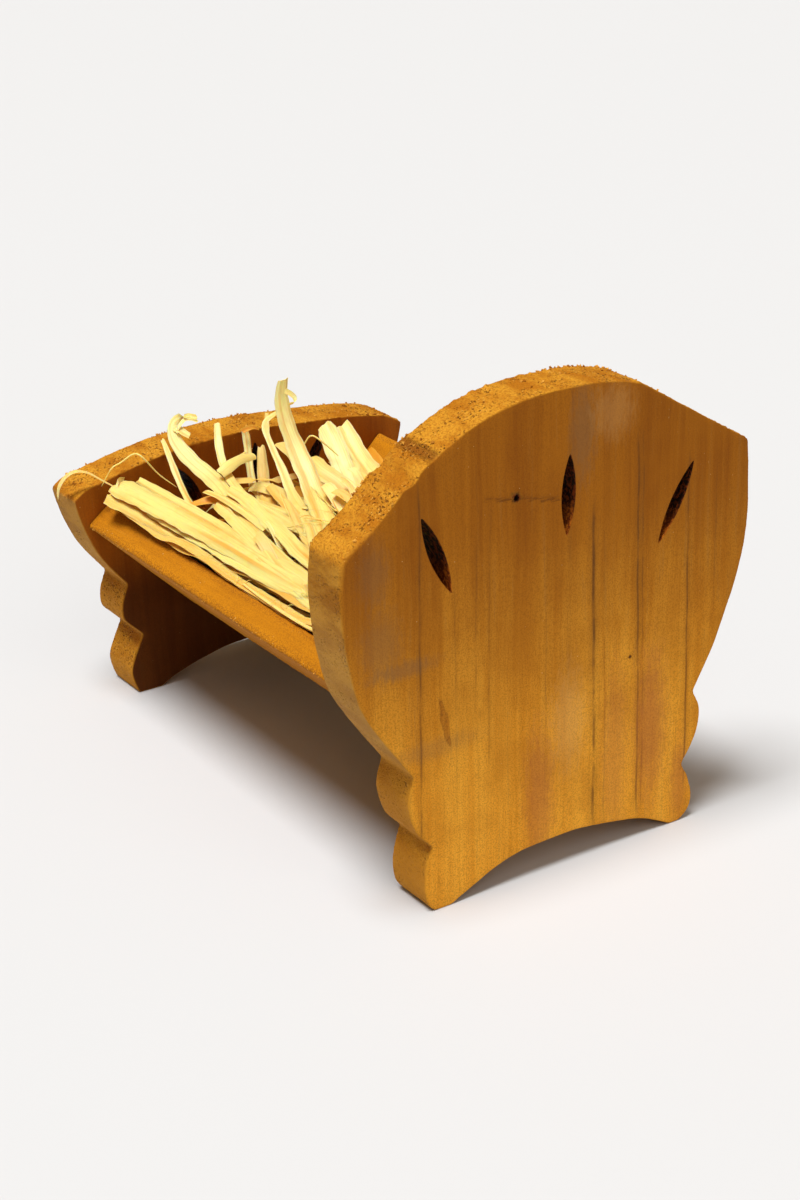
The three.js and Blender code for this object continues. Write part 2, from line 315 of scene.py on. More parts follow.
def outward_normals(loop):
    along = np.roll(loop, -1, 0) - np.roll(loop, 1, 0)
    normal = to_the_right(along)
    return normal / np.linalg.norm(normal, axis=1)[:, None]


def inside_and_distance(points, loops):
    """For each point, whether it is within the material, and its distance to the nearest loop."""
    inside = np.zeros(len(points), bool)
    nearest = np.full(len(points), 1e9)
    for loop in loops:
        a = loop
        b = np.roll(loop, -1, 0)
        for start in range(0, len(points), 2000):
            part = slice(start, start + 2000)
            p = points[part][:, None, :]
            span = b - a
            t = np.clip(np.sum((p - a) * span, 2) / np.sum(span * span, 1), 0, 1)
            gap = np.linalg.norm(p - (a + t[..., None] * span), axis=2).min(1)
            nearest[part] = np.minimum(nearest[part], gap)
            crosses = (a[:, 1] > p[..., 1]) != (b[:, 1] > p[..., 1])
            drop = b[:, 1] - a[:, 1]
            reach = a[:, 0] + (p[..., 1] - a[:, 1]) / np.where(drop == 0, 1, drop) * span[:, 0]
            inside[part] ^= (np.sum(crosses & (p[..., 0] < reach), 1) % 2).astype(bool)
    return inside, nearest


def close_and_face_outwards(mesh):
    """Fills the slivers that a triangulation leaves open and turns every face outwards."""
    made = bmesh.new()
    made.from_mesh(mesh)
    bmesh.ops.holes_fill(made, edges=[edge for edge in made.edges if edge.is_boundary])
    bmesh.ops.recalc_face_normals(made, faces=made.faces[:])
    made.to_mesh(mesh)
    made.free()


class Build:
    """Vertices, faces and named values per vertex, gathered before they become one mesh."""

    def __init__(self, *names):
        self.points = []
        self.faces = []
        self.values = {name: [] for name in names}
        self.count = 0

    def add(self, points, **values):
        """Adds points (n, 3) and returns their numbers."""
        points = np.asarray(points, float)
        for name, kept in self.values.items():
            kept.append(np.broadcast_to(np.asarray(values.get(name, 0.0), float), (len(points),)))
        self.points.append(points)
        first = self.count
        self.count += len(points)
        return np.arange(first, self.count)

    def strip(self, ring_a, ring_b):
        """Quads between two closed rings of equal length."""
        next_a = np.roll(ring_a, -1)
        next_b = np.roll(ring_b, -1)
        self.faces.extend(np.stack([ring_a, next_a, next_b, ring_b], 1).tolist())

    def face(self, corners):
        self.faces.append([int(c) for c in corners])

    def to_object(self, name, material, shade=True):
        points = np.vstack(self.points)
        mesh = bpy.data.meshes.new(name)
        mesh.from_pydata((points * MM).tolist(), [], self.faces)
        for key, kept in self.values.items():
            attribute = mesh.attributes.new(key, "FLOAT", "POINT")
            attribute.data.foreach_set("value", np.concatenate(kept).astype(np.float32))
        close_and_face_outwards(mesh)
        mesh.polygons.foreach_set("use_smooth", [shade] * len(mesh.polygons))
        if "crease" in self.values:
            crease = np.concatenate(self.values["crease"]) > 0.5
            ends = np.empty(len(mesh.edges) * 2, np.int32)
            mesh.edges.foreach_get("vertices", ends)
            sharp = mesh.attributes.new("sharp_edge", "BOOLEAN", "EDGE")
            sharp.data.foreach_set("value", crease[ends.reshape(-1, 2)].all(1))
        mesh.materials.append(material)
        mesh.update()
        return in_scene(name, mesh)


SLIVER_AREA = 1e-4


def fill_cap(build, rings, y, through, faces_low, pitch, seed):
    """Fills a flat end between the rings (number arrays with their loops), with points inside it."""
    loops = [loop for _, loop in rings]
    low = np.min([loop.min(0) for loop in loops], 0)
    high = np.max([loop.max(0) for loop in loops], 0)
    rng = np.random.default_rng(seed)
    xs = np.arange(low[0], high[0], pitch)
    zs = np.arange(low[1], high[1], pitch * 0.87)
    grid = np.stack(np.meshgrid(xs, zs), -1)
    grid[1::2, :, 0] += pitch / 2
    grid = grid.reshape(-1, 2) + rng.uniform(-0.2, 0.2, (grid.size // 2, 2)) * pitch
    inside, gap = inside_and_distance(grid, loops)
    keep = inside & (gap > 0.55 * pitch)
    grid = grid[keep]
    new = build.add(
        np.stack([grid[:, 0], np.full(len(grid), y), grid[:, 1]], 1),
        rim=gap[keep],
        through=through,
    )
    numbers = np.concatenate([ring for ring, _ in rings] + [new])
    flat = np.vstack(loops + [grid])
    edges = []
    first = 0
    for ring, _ in rings:
        edges += [(first + i, first + (i + 1) % len(ring)) for i in range(len(ring))]
        first += len(ring)
    found = geometry.delaunay_2d_cdt([Vector(p) for p in flat], edges, [], 0, 1e-5, True)
    origin = [o[0] if o else -1 for o in found[3]]
    triangles = np.array([[origin[i] for i in t] for t in found[2]])
    triangles = triangles[(triangles >= 0).all(1)]
    centres = flat[triangles].mean(1)
    within, _ = inside_and_distance(centres, loops)
    triangles = triangles[within]
    corners = flat[triangles]
    area = cross_z(corners[:, 1] - corners[:, 0], corners[:, 2] - corners[:, 0])
    sound = np.abs(area) > SLIVER_AREA
    triangles = triangles[sound]
    area = area[sound]
    wanted = 1 if faces_low else -1
    flip = np.sign(area) != wanted
    triangles[flip] = triangles[flip][:, ::-1]
    build.faces.extend(numbers[triangles].tolist())


def sink_hole(build, loop, y_from, y_to, faces_low):
    """A blind hole: its mouth ring, wall and bottom. Returns the mouth ring's numbers."""
    anticlockwise = signed_area(loop) > 0
    if anticlockwise:
        loop = loop[::-1]
    rings = []
    for y in (y_from, y_to):
        rings.append(build.add(
            np.stack([loop[:, 0], np.full(len(loop), y), loop[:, 1]], 1), sawn=1, hole=1, rim=0))
    if faces_low:
        build.strip(rings[0], rings[1])
        build.face(rings[1])
    else:
        build.strip(rings[1], rings[0])
        build.face(rings[1][::-1])
    return rings[0], loop


WORN_REACH = 9.0
WORN_ROUNDS = 36
BORE_WIDEST = 8.0


def is_bore(loop):
    """A dowel's or nail's bore: blind, even where a bore at the other end lines up with it."""
    return np.ptp(loop, axis=0).max() < BORE_WIDEST


def fine_prism(node, material, *, spacing, pitch, arris, ease_rounds, hole_depth, roughen, seed,
               wall_look=1.0, worn_corner=None):
    """The fine mesh of one wooden CAD node. hole_depth(loop) is a blind hole's depth."""
    low, high = (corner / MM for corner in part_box(node))
    ends = {True: cap_loops(node, low.y * MM), False: cap_loops(node, high.y * MM)}
    through = [a for a in ends[True] if not is_bore(a) and any(same_loop(a, b) for b in ends[False])]
    build = Build("sawn", "side", "rim", "run", "through", "hole", "raw", "corner")
    cap_rings = {True: [], False: []}
    thickness = high.y - low.y
    widest = max(through, key=lambda loop: abs(signed_area(loop)))
    for loop in through:
        is_slot = loop is not widest
        if (signed_area(loop) > 0) == is_slot:
            loop = loop[::-1]
        loop = resample(loop, spacing)
        loop = ease(loop, 1 if is_slot else ease_rounds)
        if worn_corner is not None and not is_slot:
            loop = soften_near(loop, worn_corner, WORN_REACH, WORN_ROUNDS)
        height = (loop[:, 1] - loop[:, 1].min()) / np.ptp(loop[:, 1])
        normal = outward_normals(loop)
        reach = np.cumsum(np.linalg.norm(np.roll(loop, -1, 0) - loop, axis=1))
        radius = np.full(len(loop), 0.25) if is_slot else arris(loop)
        rows = []
        for k in range(ARRIS_STEPS + 1):
            turn = math.pi / 2 * k / ARRIS_STEPS
            rows.append((radius * (1 - math.sin(turn)), radius * (1 - math.cos(turn)), k / ARRIS_STEPS))
        walls = max(2, round((thickness - 2 * radius.mean()) / spacing))
        middle = []
        for k in range(1, walls):
            t = k / walls
            middle.append((0 * radius, radius * (1 - t) + (thickness - radius) * t, 1.0))
        back = [(inset, thickness - depth, share) for inset, depth, share in reversed(rows)]
        rings = []
        for inset, depth, share in rows + middle + back:
            flat = loop - normal * inset[:, None]
            rings.append(build.add(
                np.stack([flat[:, 0], low.y + depth, flat[:, 1]], 1),
                sawn=share * wall_look,
                side=smoothstep(0.50, 0.05, normal[:, 1]),
                rim=np.minimum(depth, thickness - depth),
                run=reach,
                through=depth,
                hole=float(is_slot) * min(1.0, share * 2),
                raw=float(is_slot) * smoothstep(0.46, 0.10, height),
                corner=corner_nearness(loop) * float(not is_slot),
            ))
        for a, b in zip(rings, rings[1:]):
            build.strip(a, b)
        inset = loop - normal * radius[:, None]
        cap_rings[True].append((rings[0], inset))
        cap_rings[False].append((rings[-1], inset))
    for at_low in (True, False):
        y = low.y if at_low else high.y
        for loop in ends[at_low]:
            if any(same_loop(loop, other) for other in through):
                continue
            depth = hole_depth(loop)
            ring = sink_hole(build, loop, y, y + depth if at_low else y - depth, at_low)
            cap_rings[at_low].append(ring)
        fill_cap(build, cap_rings[at_low], y, 0 if at_low else thickness, at_low, pitch, seed + at_low)
    piece = build.to_object(node + "_fine", material)
    piece["made_from"] = node
    roughen(piece)
    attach(piece, WOOD_BODY)
    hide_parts(node)
    return piece


def read_values(piece):
    """Points and normals in millimetres and the named values of a piece's mesh."""
    mesh = piece.data
    n = len(mesh.vertices)
    points = np.empty(n * 3)
    mesh.vertices.foreach_get("co", points)
    normals = np.empty(n * 3)
    mesh.vertex_normals.foreach_get("vector", normals)
    values = {}
    for name in ("sawn", "rim", "run", "through", "hole", "corner"):
        values[name] = np.empty(n)
        mesh.attributes[name].data.foreach_get("value", values[name])
    return points.reshape(-1, 3) / MM, normals.reshape(-1, 3), values


def write_points(piece, points):
    piece.data.vertices.foreach_set("co", (points * MM).ravel())
    piece.data.update()


# ---- how each kind of board is sawn ----------------------------------------------------------------

BLADE_PITCH = 1.3  # between the ripples that the blade left
BOARD_THICKNESS = 19.0
FIBRE_REACH = 0.25  # how far torn fibres may stand out of a board's CAD box


def sawn_texture(points, values, normals, seed):
    """How far each point moves out: torn fibres on the upward cuts and fine ripples on the others."""
    upward = smoothstep(0.1, 0.75, normals[:, 2])
    coarse = lattice_noise(points, 3.2, seed) * 0.10
    torn = lattice_noise(points, 0.9, seed + 1)
    fine = lattice_noise(points, 0.55, seed + 2)
    patch = smoothstep(-0.5, 0.5, lattice_noise(points, 9.0, seed + 3))
    ripple = np.sin(values["run"] / BLADE_PITCH * 2 * math.pi + lattice_noise(points, 6.0, seed + 4) * 2)
    rough = (0.12 + 0.34 * upward) * (0.25 + 0.75 * patch)
    return coarse + rough * (0.6 * torn + 0.5 * fine) + 0.03 * ripple


def roughen_board(piece, seed, back_is_low):
    """Sawn texture on the cut edges, fibres torn along the back arris, and nearly calm flat faces."""
    points, normals, values = read_values(piece)
    sawn = values["sawn"] * (1 - values["hole"])
    move = sawn_texture(points, values, normals, seed) * sawn
    behind = values["through"] if back_is_low else BOARD_THICKNESS - values["through"]
    upward = smoothstep(0.0, 0.6, normals[:, 2])
    tear = smoothstep(3.5, 0.4, behind) * smoothstep(0.15, 0.7, lattice_noise(points, 1.3, seed + 9))
    move += 0.55 * tear * sawn * upward
    calm = lattice_noise(points * np.array([1, 1, 0.12]), 5.0, seed + 7) * 0.05
    calm += lattice_noise(points, 26.0, seed + 8) * 0.10
    inner = smoothstep(0.5, 5.0, values["rim"])
    move += calm * (1 - values["sawn"]) * inner
    torn_slot = values["hole"] * lattice_noise(points, 1.0, seed + 5) * 0.22
    free = smoothstep(0.2, 2.0, values["rim"])
    move += torn_slot * free
    floor = smoothstep(0.0, 1.2, points[:, 2])
    points = points + normals * (move * floor)[:, None]
    points[:, 2] = np.maximum(points[:, 2], 0)
    low, high = (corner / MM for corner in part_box(piece["made_from"]))
    limit_low = np.array(low) - FIBRE_REACH
    limit_high = np.array(high) + FIBRE_REACH
    limit_low[2] = max(limit_low[2], 0)
    write_points(piece, np.clip(points, limit_low, limit_high))


make_camera()
make_floor()
make_light()


# ---- materials -------------------------------------------------------------------------------------


def srgb(red, green, blue):
    """A linear colour from 0 to 255 values as a screen shows them."""
    shares = [channel / 255 for channel in (red, green, blue)]
    return tuple(s / 12.92 if s <= 0.04045 else ((s + 0.055) / 1.055) ** 2.4 for s in shares) + (1,)


class Paint:
    """A material's node graph, built from short calls. A socket takes a number, a colour or a link."""

    def __init__(self, name):
        self.material = bpy.data.materials.new(name)
        self.material.use_nodes = True
        self.tree = self.material.node_tree
        self.shader = self.tree.nodes["Principled BSDF"]

    def node(self, kind, inputs, **settings):
        node = self.tree.nodes.new(kind)
        for key, value in settings.items():
            setattr(node, key, value)
        for key, value in inputs.items():
            self.plug(node.inputs[key], value)
        return node

    def plug(self, socket, value):
        if isinstance(value, bpy.types.NodeSocket):
            self.tree.links.new(value, socket)
        else:
            socket.default_value = value

    def math(self, operation, a, b=0.0):
        return self.node("ShaderNodeMath", {0: a, 1: b}, operation=operation).outputs[0]

    def add(self, a, b):
        return self.math("ADD", a, b)

    def times(self, a, b):
        return self.math("MULTIPLY", a, b)

    def less(self, a, b):
        return self.math("SUBTRACT", a, b)

    def value(self, name):
        return self.node("ShaderNodeAttribute", {}, attribute_name=name).outputs["Fac"]

    def place(self):
        """The surface point in millimetres."""
        coordinates = self.node("ShaderNodeTexCoord", {}).outputs["Object"]
        return self.scaled(coordinates, 1 / MM, 1 / MM, 1 / MM)

    def scaled(self, vector, x, y, z):
        return self.node(
            "ShaderNodeVectorMath", {0: vector, 1: (x, y, z)}, operation="MULTIPLY").outputs[0]

    def moved(self, vector, other):
        return self.node("ShaderNodeVectorMath", {0: vector, 1: other}, operation="ADD").outputs[0]

    def split(self, vector):
        return self.node("ShaderNodeSeparateXYZ", {0: vector}).outputs

    def join(self, x, y, z):
        return self.node("ShaderNodeCombineXYZ", {0: x, 1: y, 2: z}).outputs[0]

    def noise(self, vector, scale, detail=2.0, roughness=0.5):
        inputs = {"Vector": vector, "Scale": scale, "Detail": detail, "Roughness": roughness}
        return self.node("ShaderNodeTexNoise", inputs).outputs["Fac"]

    def ramp(self, value, low, high):
        """0 below low and 1 above high, or the other way round where low is above high."""
        inputs = {"Value": value, "From Min": low, "From Max": high}
        return self.node("ShaderNodeMapRange", inputs, interpolation_type="SMOOTHSTEP").outputs[0]

    def mix(self, factor, a, b):
        """Colour a where the factor is 0, and b where it is 1."""
        node = self.tree.nodes.new("ShaderNodeMix")
        node.data_type = "RGBA"
        self.plug(node.inputs["Factor"], factor)
        self.plug(node.inputs[6], a)
        self.plug(node.inputs[7], b)
        return node.outputs[2]

    def stain(self, colour, value, low, high, share, tint):
        """A share of the tint laid over a colour, as a ramp of the value says."""
        return self.mix(self.times(self.ramp(value, low, high), share), colour, tint)

    def finish(self, colour, roughness, height, depth, specular=0.5):
        """Plugs the results in. height is in millimetres and depth scales it."""
        self.plug(self.shader.inputs["Base Color"], colour)
        self.plug(self.shader.inputs["Roughness"], roughness)
        self.plug(self.shader.inputs["Specular IOR Level"], specular)
        inputs = {"Height": height, "Strength": 1.0, "Distance": depth * MM}
        self.plug(self.shader.inputs["Normal"], self.node("ShaderNodeBump", inputs).outputs[0])
        return self.material


TROUGH_X = (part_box("trough_floor_slat")[0].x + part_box("trough_floor_slat")[1].x) / 2 / MM

# Marks on the head board's face, in millimetres from the trough's middle.
# Grain lines: x at a height of 100, lean (x per z), half width, strength, lowest and highest z.
GRAIN_LINES = [
    (-54.0, 0.010, 0.55, 0.75, 20, 152),
    (-33.0, 0.015, 0.50, 0.35, 60, 150),
    (-28.0, 0.012, 0.45, 0.35, 30, 140),
    (-41.0, 0.000, 0.40, 0.25, 25, 120),
    (12.6, -0.016, 0.85, 1.00, 5, 130),
    (17.0, -0.016, 0.40, 0.35, 5, 120),
    (30.6, -0.020, 0.60, 0.85, 5, 150),
    (32.6, -0.020, 0.40, 0.55, 5, 150),
    (51.3, -0.018, 0.50, 0.80, 8, 140),
    (63.0, -0.010, 0.40, 0.40, 70, 135),
    (-6.0, 0.006, 0.45, 0.25, 20, 120),
    (3.0, 0.004, 1.40, 0.22, 60, 160),
]
# Blots: x, z, half width, half height, strength, colour.
PINK = srgb(170, 96, 52)
GREY = srgb(120, 92, 62)
PALE = srgb(206, 158, 96)
FILLED = srgb(156, 88, 14)
BLOTS = [
    (-9, 28, 8, 34, 0.45, PINK),
    (37, 40, 9, 38, 0.50, PINK),
    (22, 34, 7, 42, 0.35, PINK),
    (50, 16, 5, 22, 0.40, PINK),
    (-68, 98, 10, 16, 0.35, GREY),
    (-60, 88, 16, 4, 0.38, GREY),
    (-50, 58, 22, 5, 0.25, GREY),
    (-70, 122, 8, 14, 0.35, GREY),
    (8, 150, 7, 22, 0.45, GREY),
    (3, 52, 9, 24, 0.30, PALE),
    (20, 154, 11, 12, 0.25, PALE),
]


def band(paint, distance, half_width):
    return paint.ramp(distance, half_width, half_width * 0.15)


def segment_mask(paint, x, z, start, end, half_width):
    """1 along a short straight mark from start to end, and 0 away from it."""
    span = np.array(end, float) - np.array(start, float)
    length = float(np.linalg.norm(span))
    ux, uz = span / length
    dx = paint.less(x, start[0])
    dz = paint.less(z, start[1])
    along = paint.add(paint.times(dx, ux), paint.times(dz, uz))
    aside = paint.math("ABSOLUTE", paint.less(paint.times(dx, uz), paint.times(dz, ux)))
    ends = paint.times(paint.ramp(along, -1.0, 1.0), paint.ramp(along, length + 1.0, length - 1.0))
    return paint.times(band(paint, aside, half_width), ends)


def lens_mask(paint, x, z, start, end, half_width):
    """1 within a narrow lens from start to end, and 0 away from it."""
    span = np.array(end, float) - np.array(start, float)
    length = float(np.linalg.norm(span))
    ux, uz = span / length
    dx = paint.less(x, start[0])
    dz = paint.less(z, start[1])
    share = paint.times(paint.add(paint.times(dx, ux), paint.times(dz, uz)), 1 / length)
    aside = paint.math("ABSOLUTE", paint.less(paint.times(dx, uz), paint.times(dz, ux)))
    swell = paint.times(paint.times(share, paint.less(1.0, share)), 4 * half_width)
    return paint.ramp(paint.less(swell, aside), 0.0, 0.9)


def grain_space(paint, place, along_axis, wobble):
    """The point squeezed along the grain, with slow waves, so that noise in it makes streaks."""
    squeeze = [1.0, 1.0, 1.0]
    squeeze[along_axis] = 1 / 30
    slow = [1 / 16, 1 / 16, 1 / 16]
    slow[along_axis] = 1 / 70
    wave = paint.node(
        "ShaderNodeTexNoise", {"Vector": paint.scaled(place, *slow), "Scale": 1.0, "Detail": 1.0})
    shift = paint.scaled(wave.outputs["Color"], wobble, wobble, wobble)
    return paint.moved(paint.scaled(place, *squeeze), shift)


def face_marks(paint, place, colour, height):
    """Adds the head board's own marks to its face colour and height."""
    x, _, z = paint.split(place)
    x = paint.less(x, TROUGH_X)
    sway = paint.less(paint.noise(paint.join(0.0, 7.0, paint.times(z, 0.02)), 1.0, 1.0), 0.5)
    broken = paint.noise(paint.join(paint.times(x, 0.2), 3.0, paint.times(z, 0.06)), 1.0, 3.0, 0.6)
    torn = paint.noise(paint.scaled(place, 0.9, 0.9, 0.25), 1.0, 3.0, 0.6)
    for x_at, lean, half_width, strength, z_low, z_high in GRAIN_LINES:
        line_x = paint.add(paint.times(paint.less(z, 100), lean), x_at)
        bent = paint.add(line_x, paint.times(sway, 5.0))
        gap = paint.math("ABSOLUTE", paint.less(x, bent))
        mask = paint.add(paint.times(band(paint, gap, half_width), 0.75),
                         paint.times(band(paint, gap, half_width * 4), 0.25))
        reach = paint.times(paint.ramp(z, z_low, z_low + 14), paint.ramp(z, z_high, z_high - 14))
        mask = paint.times(paint.times(mask, reach), paint.ramp(broken, 0.25, 0.6))
        mask = paint.times(mask, strength)
        colour = paint.mix(paint.times(mask, 0.8), colour, srgb(92, 56, 24))
        height = paint.less(height, paint.times(mask, 0.5))
    for bx, bz, half_x, half_z, strength, tint in BLOTS:
        dx = paint.times(paint.less(x, bx), 1 / half_x)
        dz = paint.times(paint.less(z, bz), 1 / half_z)
        away = paint.math("SQRT", paint.add(paint.times(dx, dx), paint.times(dz, dz)))
        away = paint.add(away, paint.times(paint.less(torn, 0.5), 1.2))
        mask = paint.times(paint.ramp(away, 1.1, 0.2), strength)
        colour = paint.mix(mask, colour, tint)
    frayed = paint.noise(paint.scaled(place, 0.22, 1.0, 1.1), 1.0, 3.0, 0.6)
    ragged = paint.add(z, paint.times(paint.less(frayed, 0.5), 5.0))
    scratch = segment_mask(paint, x, ragged, (-29.4, 136.2), (-1.0, 130.2), 1.1)
    scratch = paint.times(scratch, paint.add(0.15, paint.times(paint.ramp(frayed, 0.40, 0.60), 0.45)))
    colour = paint.mix(scratch, colour, srgb(92, 50, 10))
    height = paint.less(height, paint.times(scratch, 0.5))
    plug = lens_mask(paint, paint.add(x, paint.times(paint.less(torn, 0.5), 2.4)), z, (-47.3, 76.0),
                     (-43.2, 55.5), 1.7)
    plug_edge = paint.times(plug, paint.ramp(plug, 1.0, 0.35))
    speckle = paint.ramp(paint.noise(place, 1.1, 2.0), 0.50, 0.66)
    colour = paint.mix(paint.times(plug, 0.55), colour, FILLED)
    colour = paint.mix(paint.times(plug_edge, 0.55), colour, srgb(98, 52, 10))
    colour = paint.mix(paint.times(paint.times(plug, speckle), 0.45), colour, srgb(96, 54, 12))
    height = paint.less(height, paint.times(plug, 0.3))
    dot = paint.math("ABSOLUTE", paint.less(x, 28.0))
    dot = paint.add(dot, paint.math("ABSOLUTE", paint.less(z, 68.0)))
    colour = paint.mix(paint.ramp(dot, 1.2, 0.4), colour, srgb(92, 50, 14))
    return colour, height


# Pairs are (dark, light). STEP_X is where the head board's sawn top has a step, from the trough's
# middle, and where a painted shadow of the step lies across the sawn top.
DARK_GRAIN = srgb(118, 66, 14)
GREY_GRAIN = srgb(138, 94, 46)
FLECK = srgb(226, 190, 122)
# Painted shade on a board's inner face under the trough.
UNDER_TROUGH_SHADE = srgb(42, 14, 3)
TORN_TONE = srgb(160, 90, 10)
SPECK_TONE = srgb(112, 58, 8)
LIT_TONE = srgb(236, 180, 84)
STEP_X = -47.0
# The head board's face runs from darker tones at the top to lighter ones near the feet: painted bounce
# light from the floor.
HEAD_TOP_TONES = (srgb(145, 81, 6), srgb(172, 104, 15))
HEAD_LOW_TONES = (srgb(224, 146, 32), srgb(250, 178, 56))
SAWN_TONES = (srgb(176, 108, 14), srgb(206, 142, 36))
SIDE_TONES = (srgb(144, 90, 12), srgb(186, 132, 44))
# These two make the side faces lighter from the middle down: painted light.
SIDE_MIDDLE = srgb(194, 146, 72)
SIDE_LOW = srgb(198, 130, 22)
PLANK_TONES = (srgb(170, 103, 4), srgb(195, 124, 10))
FOOT_TONES = (srgb(132, 66, 4), srgb(160, 88, 10))
HEAD_INNER_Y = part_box("head_board")[1].y / MM
FOOT_INNER_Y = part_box("foot_board")[0].y / MM


def wood(name, along_axis, face, sawn, side_tones, seed, low_face=None, marks=False, inner_y=None):
    """Softwood with calm planed faces and rough sawn edges. The tones are (dark, light) colour pairs.

    low_face holds the lighter tones near the feet, painted bounce light from the floor, and inner_y is
    where a board's inner face lies: its part under the trough is darker, painted shade.
    """
    paint = Paint(name)
    place = paint.place()
    _, y, z = paint.split(place)
    shifted = paint.moved(place, (seed * 37.0, seed * 11.0, seed * 53.0))
    grain = grain_space(paint, shifted, along_axis, 5.0)
    broad = paint.noise(grain, 0.11, 2.0)
    streak = paint.noise(grain, 0.55, 3.0, 0.6)
    thin = paint.noise(grain, 2.1, 2.0, 0.6)
    sand = paint.noise(shifted, 1.9, 2.0, 0.6)
    cloud = paint.noise(shifted, 0.045, 3.0, 0.6)
    tone = paint.ramp(paint.add(paint.times(broad, 0.6), paint.times(streak, 0.4)), 0.30, 0.70)
    colour = paint.mix(tone, face[0], face[1])
    # Tones lighter towards the feet: painted bounce light from the floor.
    if low_face:
        low_tone = paint.mix(tone, low_face[0], low_face[1])
        colour = paint.mix(paint.ramp(paint.add(z, paint.times(cloud, 30.0)), 150.0, 35.0), colour,
                           low_tone)
    colour = paint.stain(colour, thin, 0.50, 0.80, 0.22, DARK_GRAIN)
    colour = paint.stain(colour, streak, 0.58, 0.75, 0.26, GREY_GRAIN)
    colour = paint.stain(colour, sand, 0.44, 0.64, 0.34, DARK_GRAIN)
    colour = paint.stain(colour, cloud, 0.42, 0.72, 0.30, face[1])
    height = paint.add(paint.times(streak, 0.20), paint.times(thin, 0.20))
    height = paint.add(height, paint.times(sand, 0.16))
    if marks:
        colour, height = face_marks(paint, place, colour, height)
    fleck = paint.ramp(paint.noise(shifted, 1.05, 2.0, 0.55), 0.735, 0.79)
    colour = paint.mix(paint.times(fleck, 0.75), colour, FLECK)
    pit = paint.ramp(paint.noise(paint.moved(shifted, (91.0, 0.0, 0.0)), 0.8, 3.0, 0.6), 0.70, 0.78)
    colour = paint.mix(paint.times(pit, 0.55), colour, DARK_GRAIN)
    # Painted shade on the inner face under the trough.
    if inner_y is not None:
        near = paint.ramp(paint.math("ABSOLUTE", paint.less(y, inner_y)), 2.5, 0.8)
        under = paint.times(near, paint.ramp(z, 66.0, 40.0))
        colour = paint.mix(paint.times(under, 0.75), colour, UNDER_TROUGH_SHADE)

    cut, cut_height = sawn_look(paint, shifted, z, sawn, side_tones)
    sawn_share = paint.value("sawn")
    colour = paint.mix(sawn_share, colour, cut)
    height = paint.add(paint.times(height, paint.less(1.0, sawn_share)),
                       paint.times(cut_height, sawn_share))
    # A painted shadow of the step across the sawn top, with a dip in its height.
    if marks:
        x, _, _ = paint.split(place)
        step_shadow_gap = paint.add(paint.less(x, TROUGH_X + STEP_X), paint.times(paint.less(sand, 0.5), 3.0))
        step = paint.times(band(paint, paint.math("ABSOLUTE", step_shadow_gap), 2.6),
                           paint.ramp(z, 138.0, 142.0))
        step = paint.times(step, sawn_share)
        colour = paint.mix(paint.times(step, 0.62), colour, SPECK_TONE)
        height = paint.less(height, paint.times(step, 1.5))
    hole = paint.value("hole")
    worn = paint.times(paint.ramp(paint.value("rim"), 0.9, 0.2), sawn_share)
    worn = paint.times(worn, paint.less(1.0, hole))
    colour = paint.mix(paint.times(worn, 0.16), colour, sawn[1])
    # Slot and bore walls are painted dark as shade; the lower ends of the slot walls keep a wood tone.
    hole_shade_mottle = paint.ramp(paint.noise(place, 0.7, 3.0, 0.6), 0.44, 0.62)
    painted_hole_shade = paint.mix(hole_shade_mottle, srgb(30, 9, 1), srgb(112, 46, 6))
    painted_hole_shade = paint.mix(paint.value("raw"), painted_hole_shade, paint.mix(hole_shade_mottle, srgb(120, 52, 6), srgb(190, 104, 22)))
    colour = paint.mix(hole, colour, painted_hole_shade)
    corner = paint.times(paint.value("corner"), paint.ramp(sand, 0.40, 0.62))
    colour = paint.mix(paint.times(corner, 0.45), colour, DARK_GRAIN)
    return paint.finish(colour, paint.add(0.66, paint.times(sand, 0.25)), height, 0.40, 0.12)


def sawn_look(paint, place, z, sawn, side_tones):
    """Colour and height of a cut across the grain: a calm tan with torn specks in clusters."""
    grit = paint.noise(place, 1.6, 3.0, 0.6)
    mottle = paint.noise(paint.scaled(place, 0.13, 0.05, 0.13), 1.0, 3.0, 0.55)
    cut = paint.mix(paint.ramp(mottle, 0.36, 0.64), sawn[0], sawn[1])
    cut = paint.stain(cut, grit, 0.46, 0.64, 0.66, TORN_TONE)
    cluster = paint.ramp(paint.noise(place, 0.11, 2.0, 0.5), 0.47, 0.62)
    hollow = paint.ramp(paint.noise(paint.scaled(place, 1.35, 0.95, 1.35), 1.0, 2.0, 0.55), 0.57, 0.68)
    speck = paint.times(hollow, paint.add(0.22, paint.times(cluster, 0.78)))
    cut = paint.mix(paint.times(speck, 0.80), cut, SPECK_TONE)
    lit = paint.ramp(paint.noise(paint.moved(place, (47.0, 0.0, 0.0)), 1.25, 2.0, 0.6), 0.60, 0.70)
    cut = paint.mix(paint.times(paint.times(lit, cluster), 0.55), cut, LIT_TONE)
    flat_tone = paint.mix(paint.ramp(mottle, 0.34, 0.66), side_tones[0], side_tones[1])
    # Side faces lighter from the middle down: painted light.
    flat_tone = paint.stain(flat_tone, z, 118.0, 90.0, 0.60, SIDE_MIDDLE)
    flat_tone = paint.stain(flat_tone, z, 62.0, 46.0, 0.75, SIDE_LOW)
    cut = paint.mix(paint.times(paint.value("side"), 0.80), cut, flat_tone)
    height = paint.less(paint.add(paint.times(grit, 1.3), paint.times(mottle, 0.4)),
                        paint.times(speck, 1.8))
    return cut, height


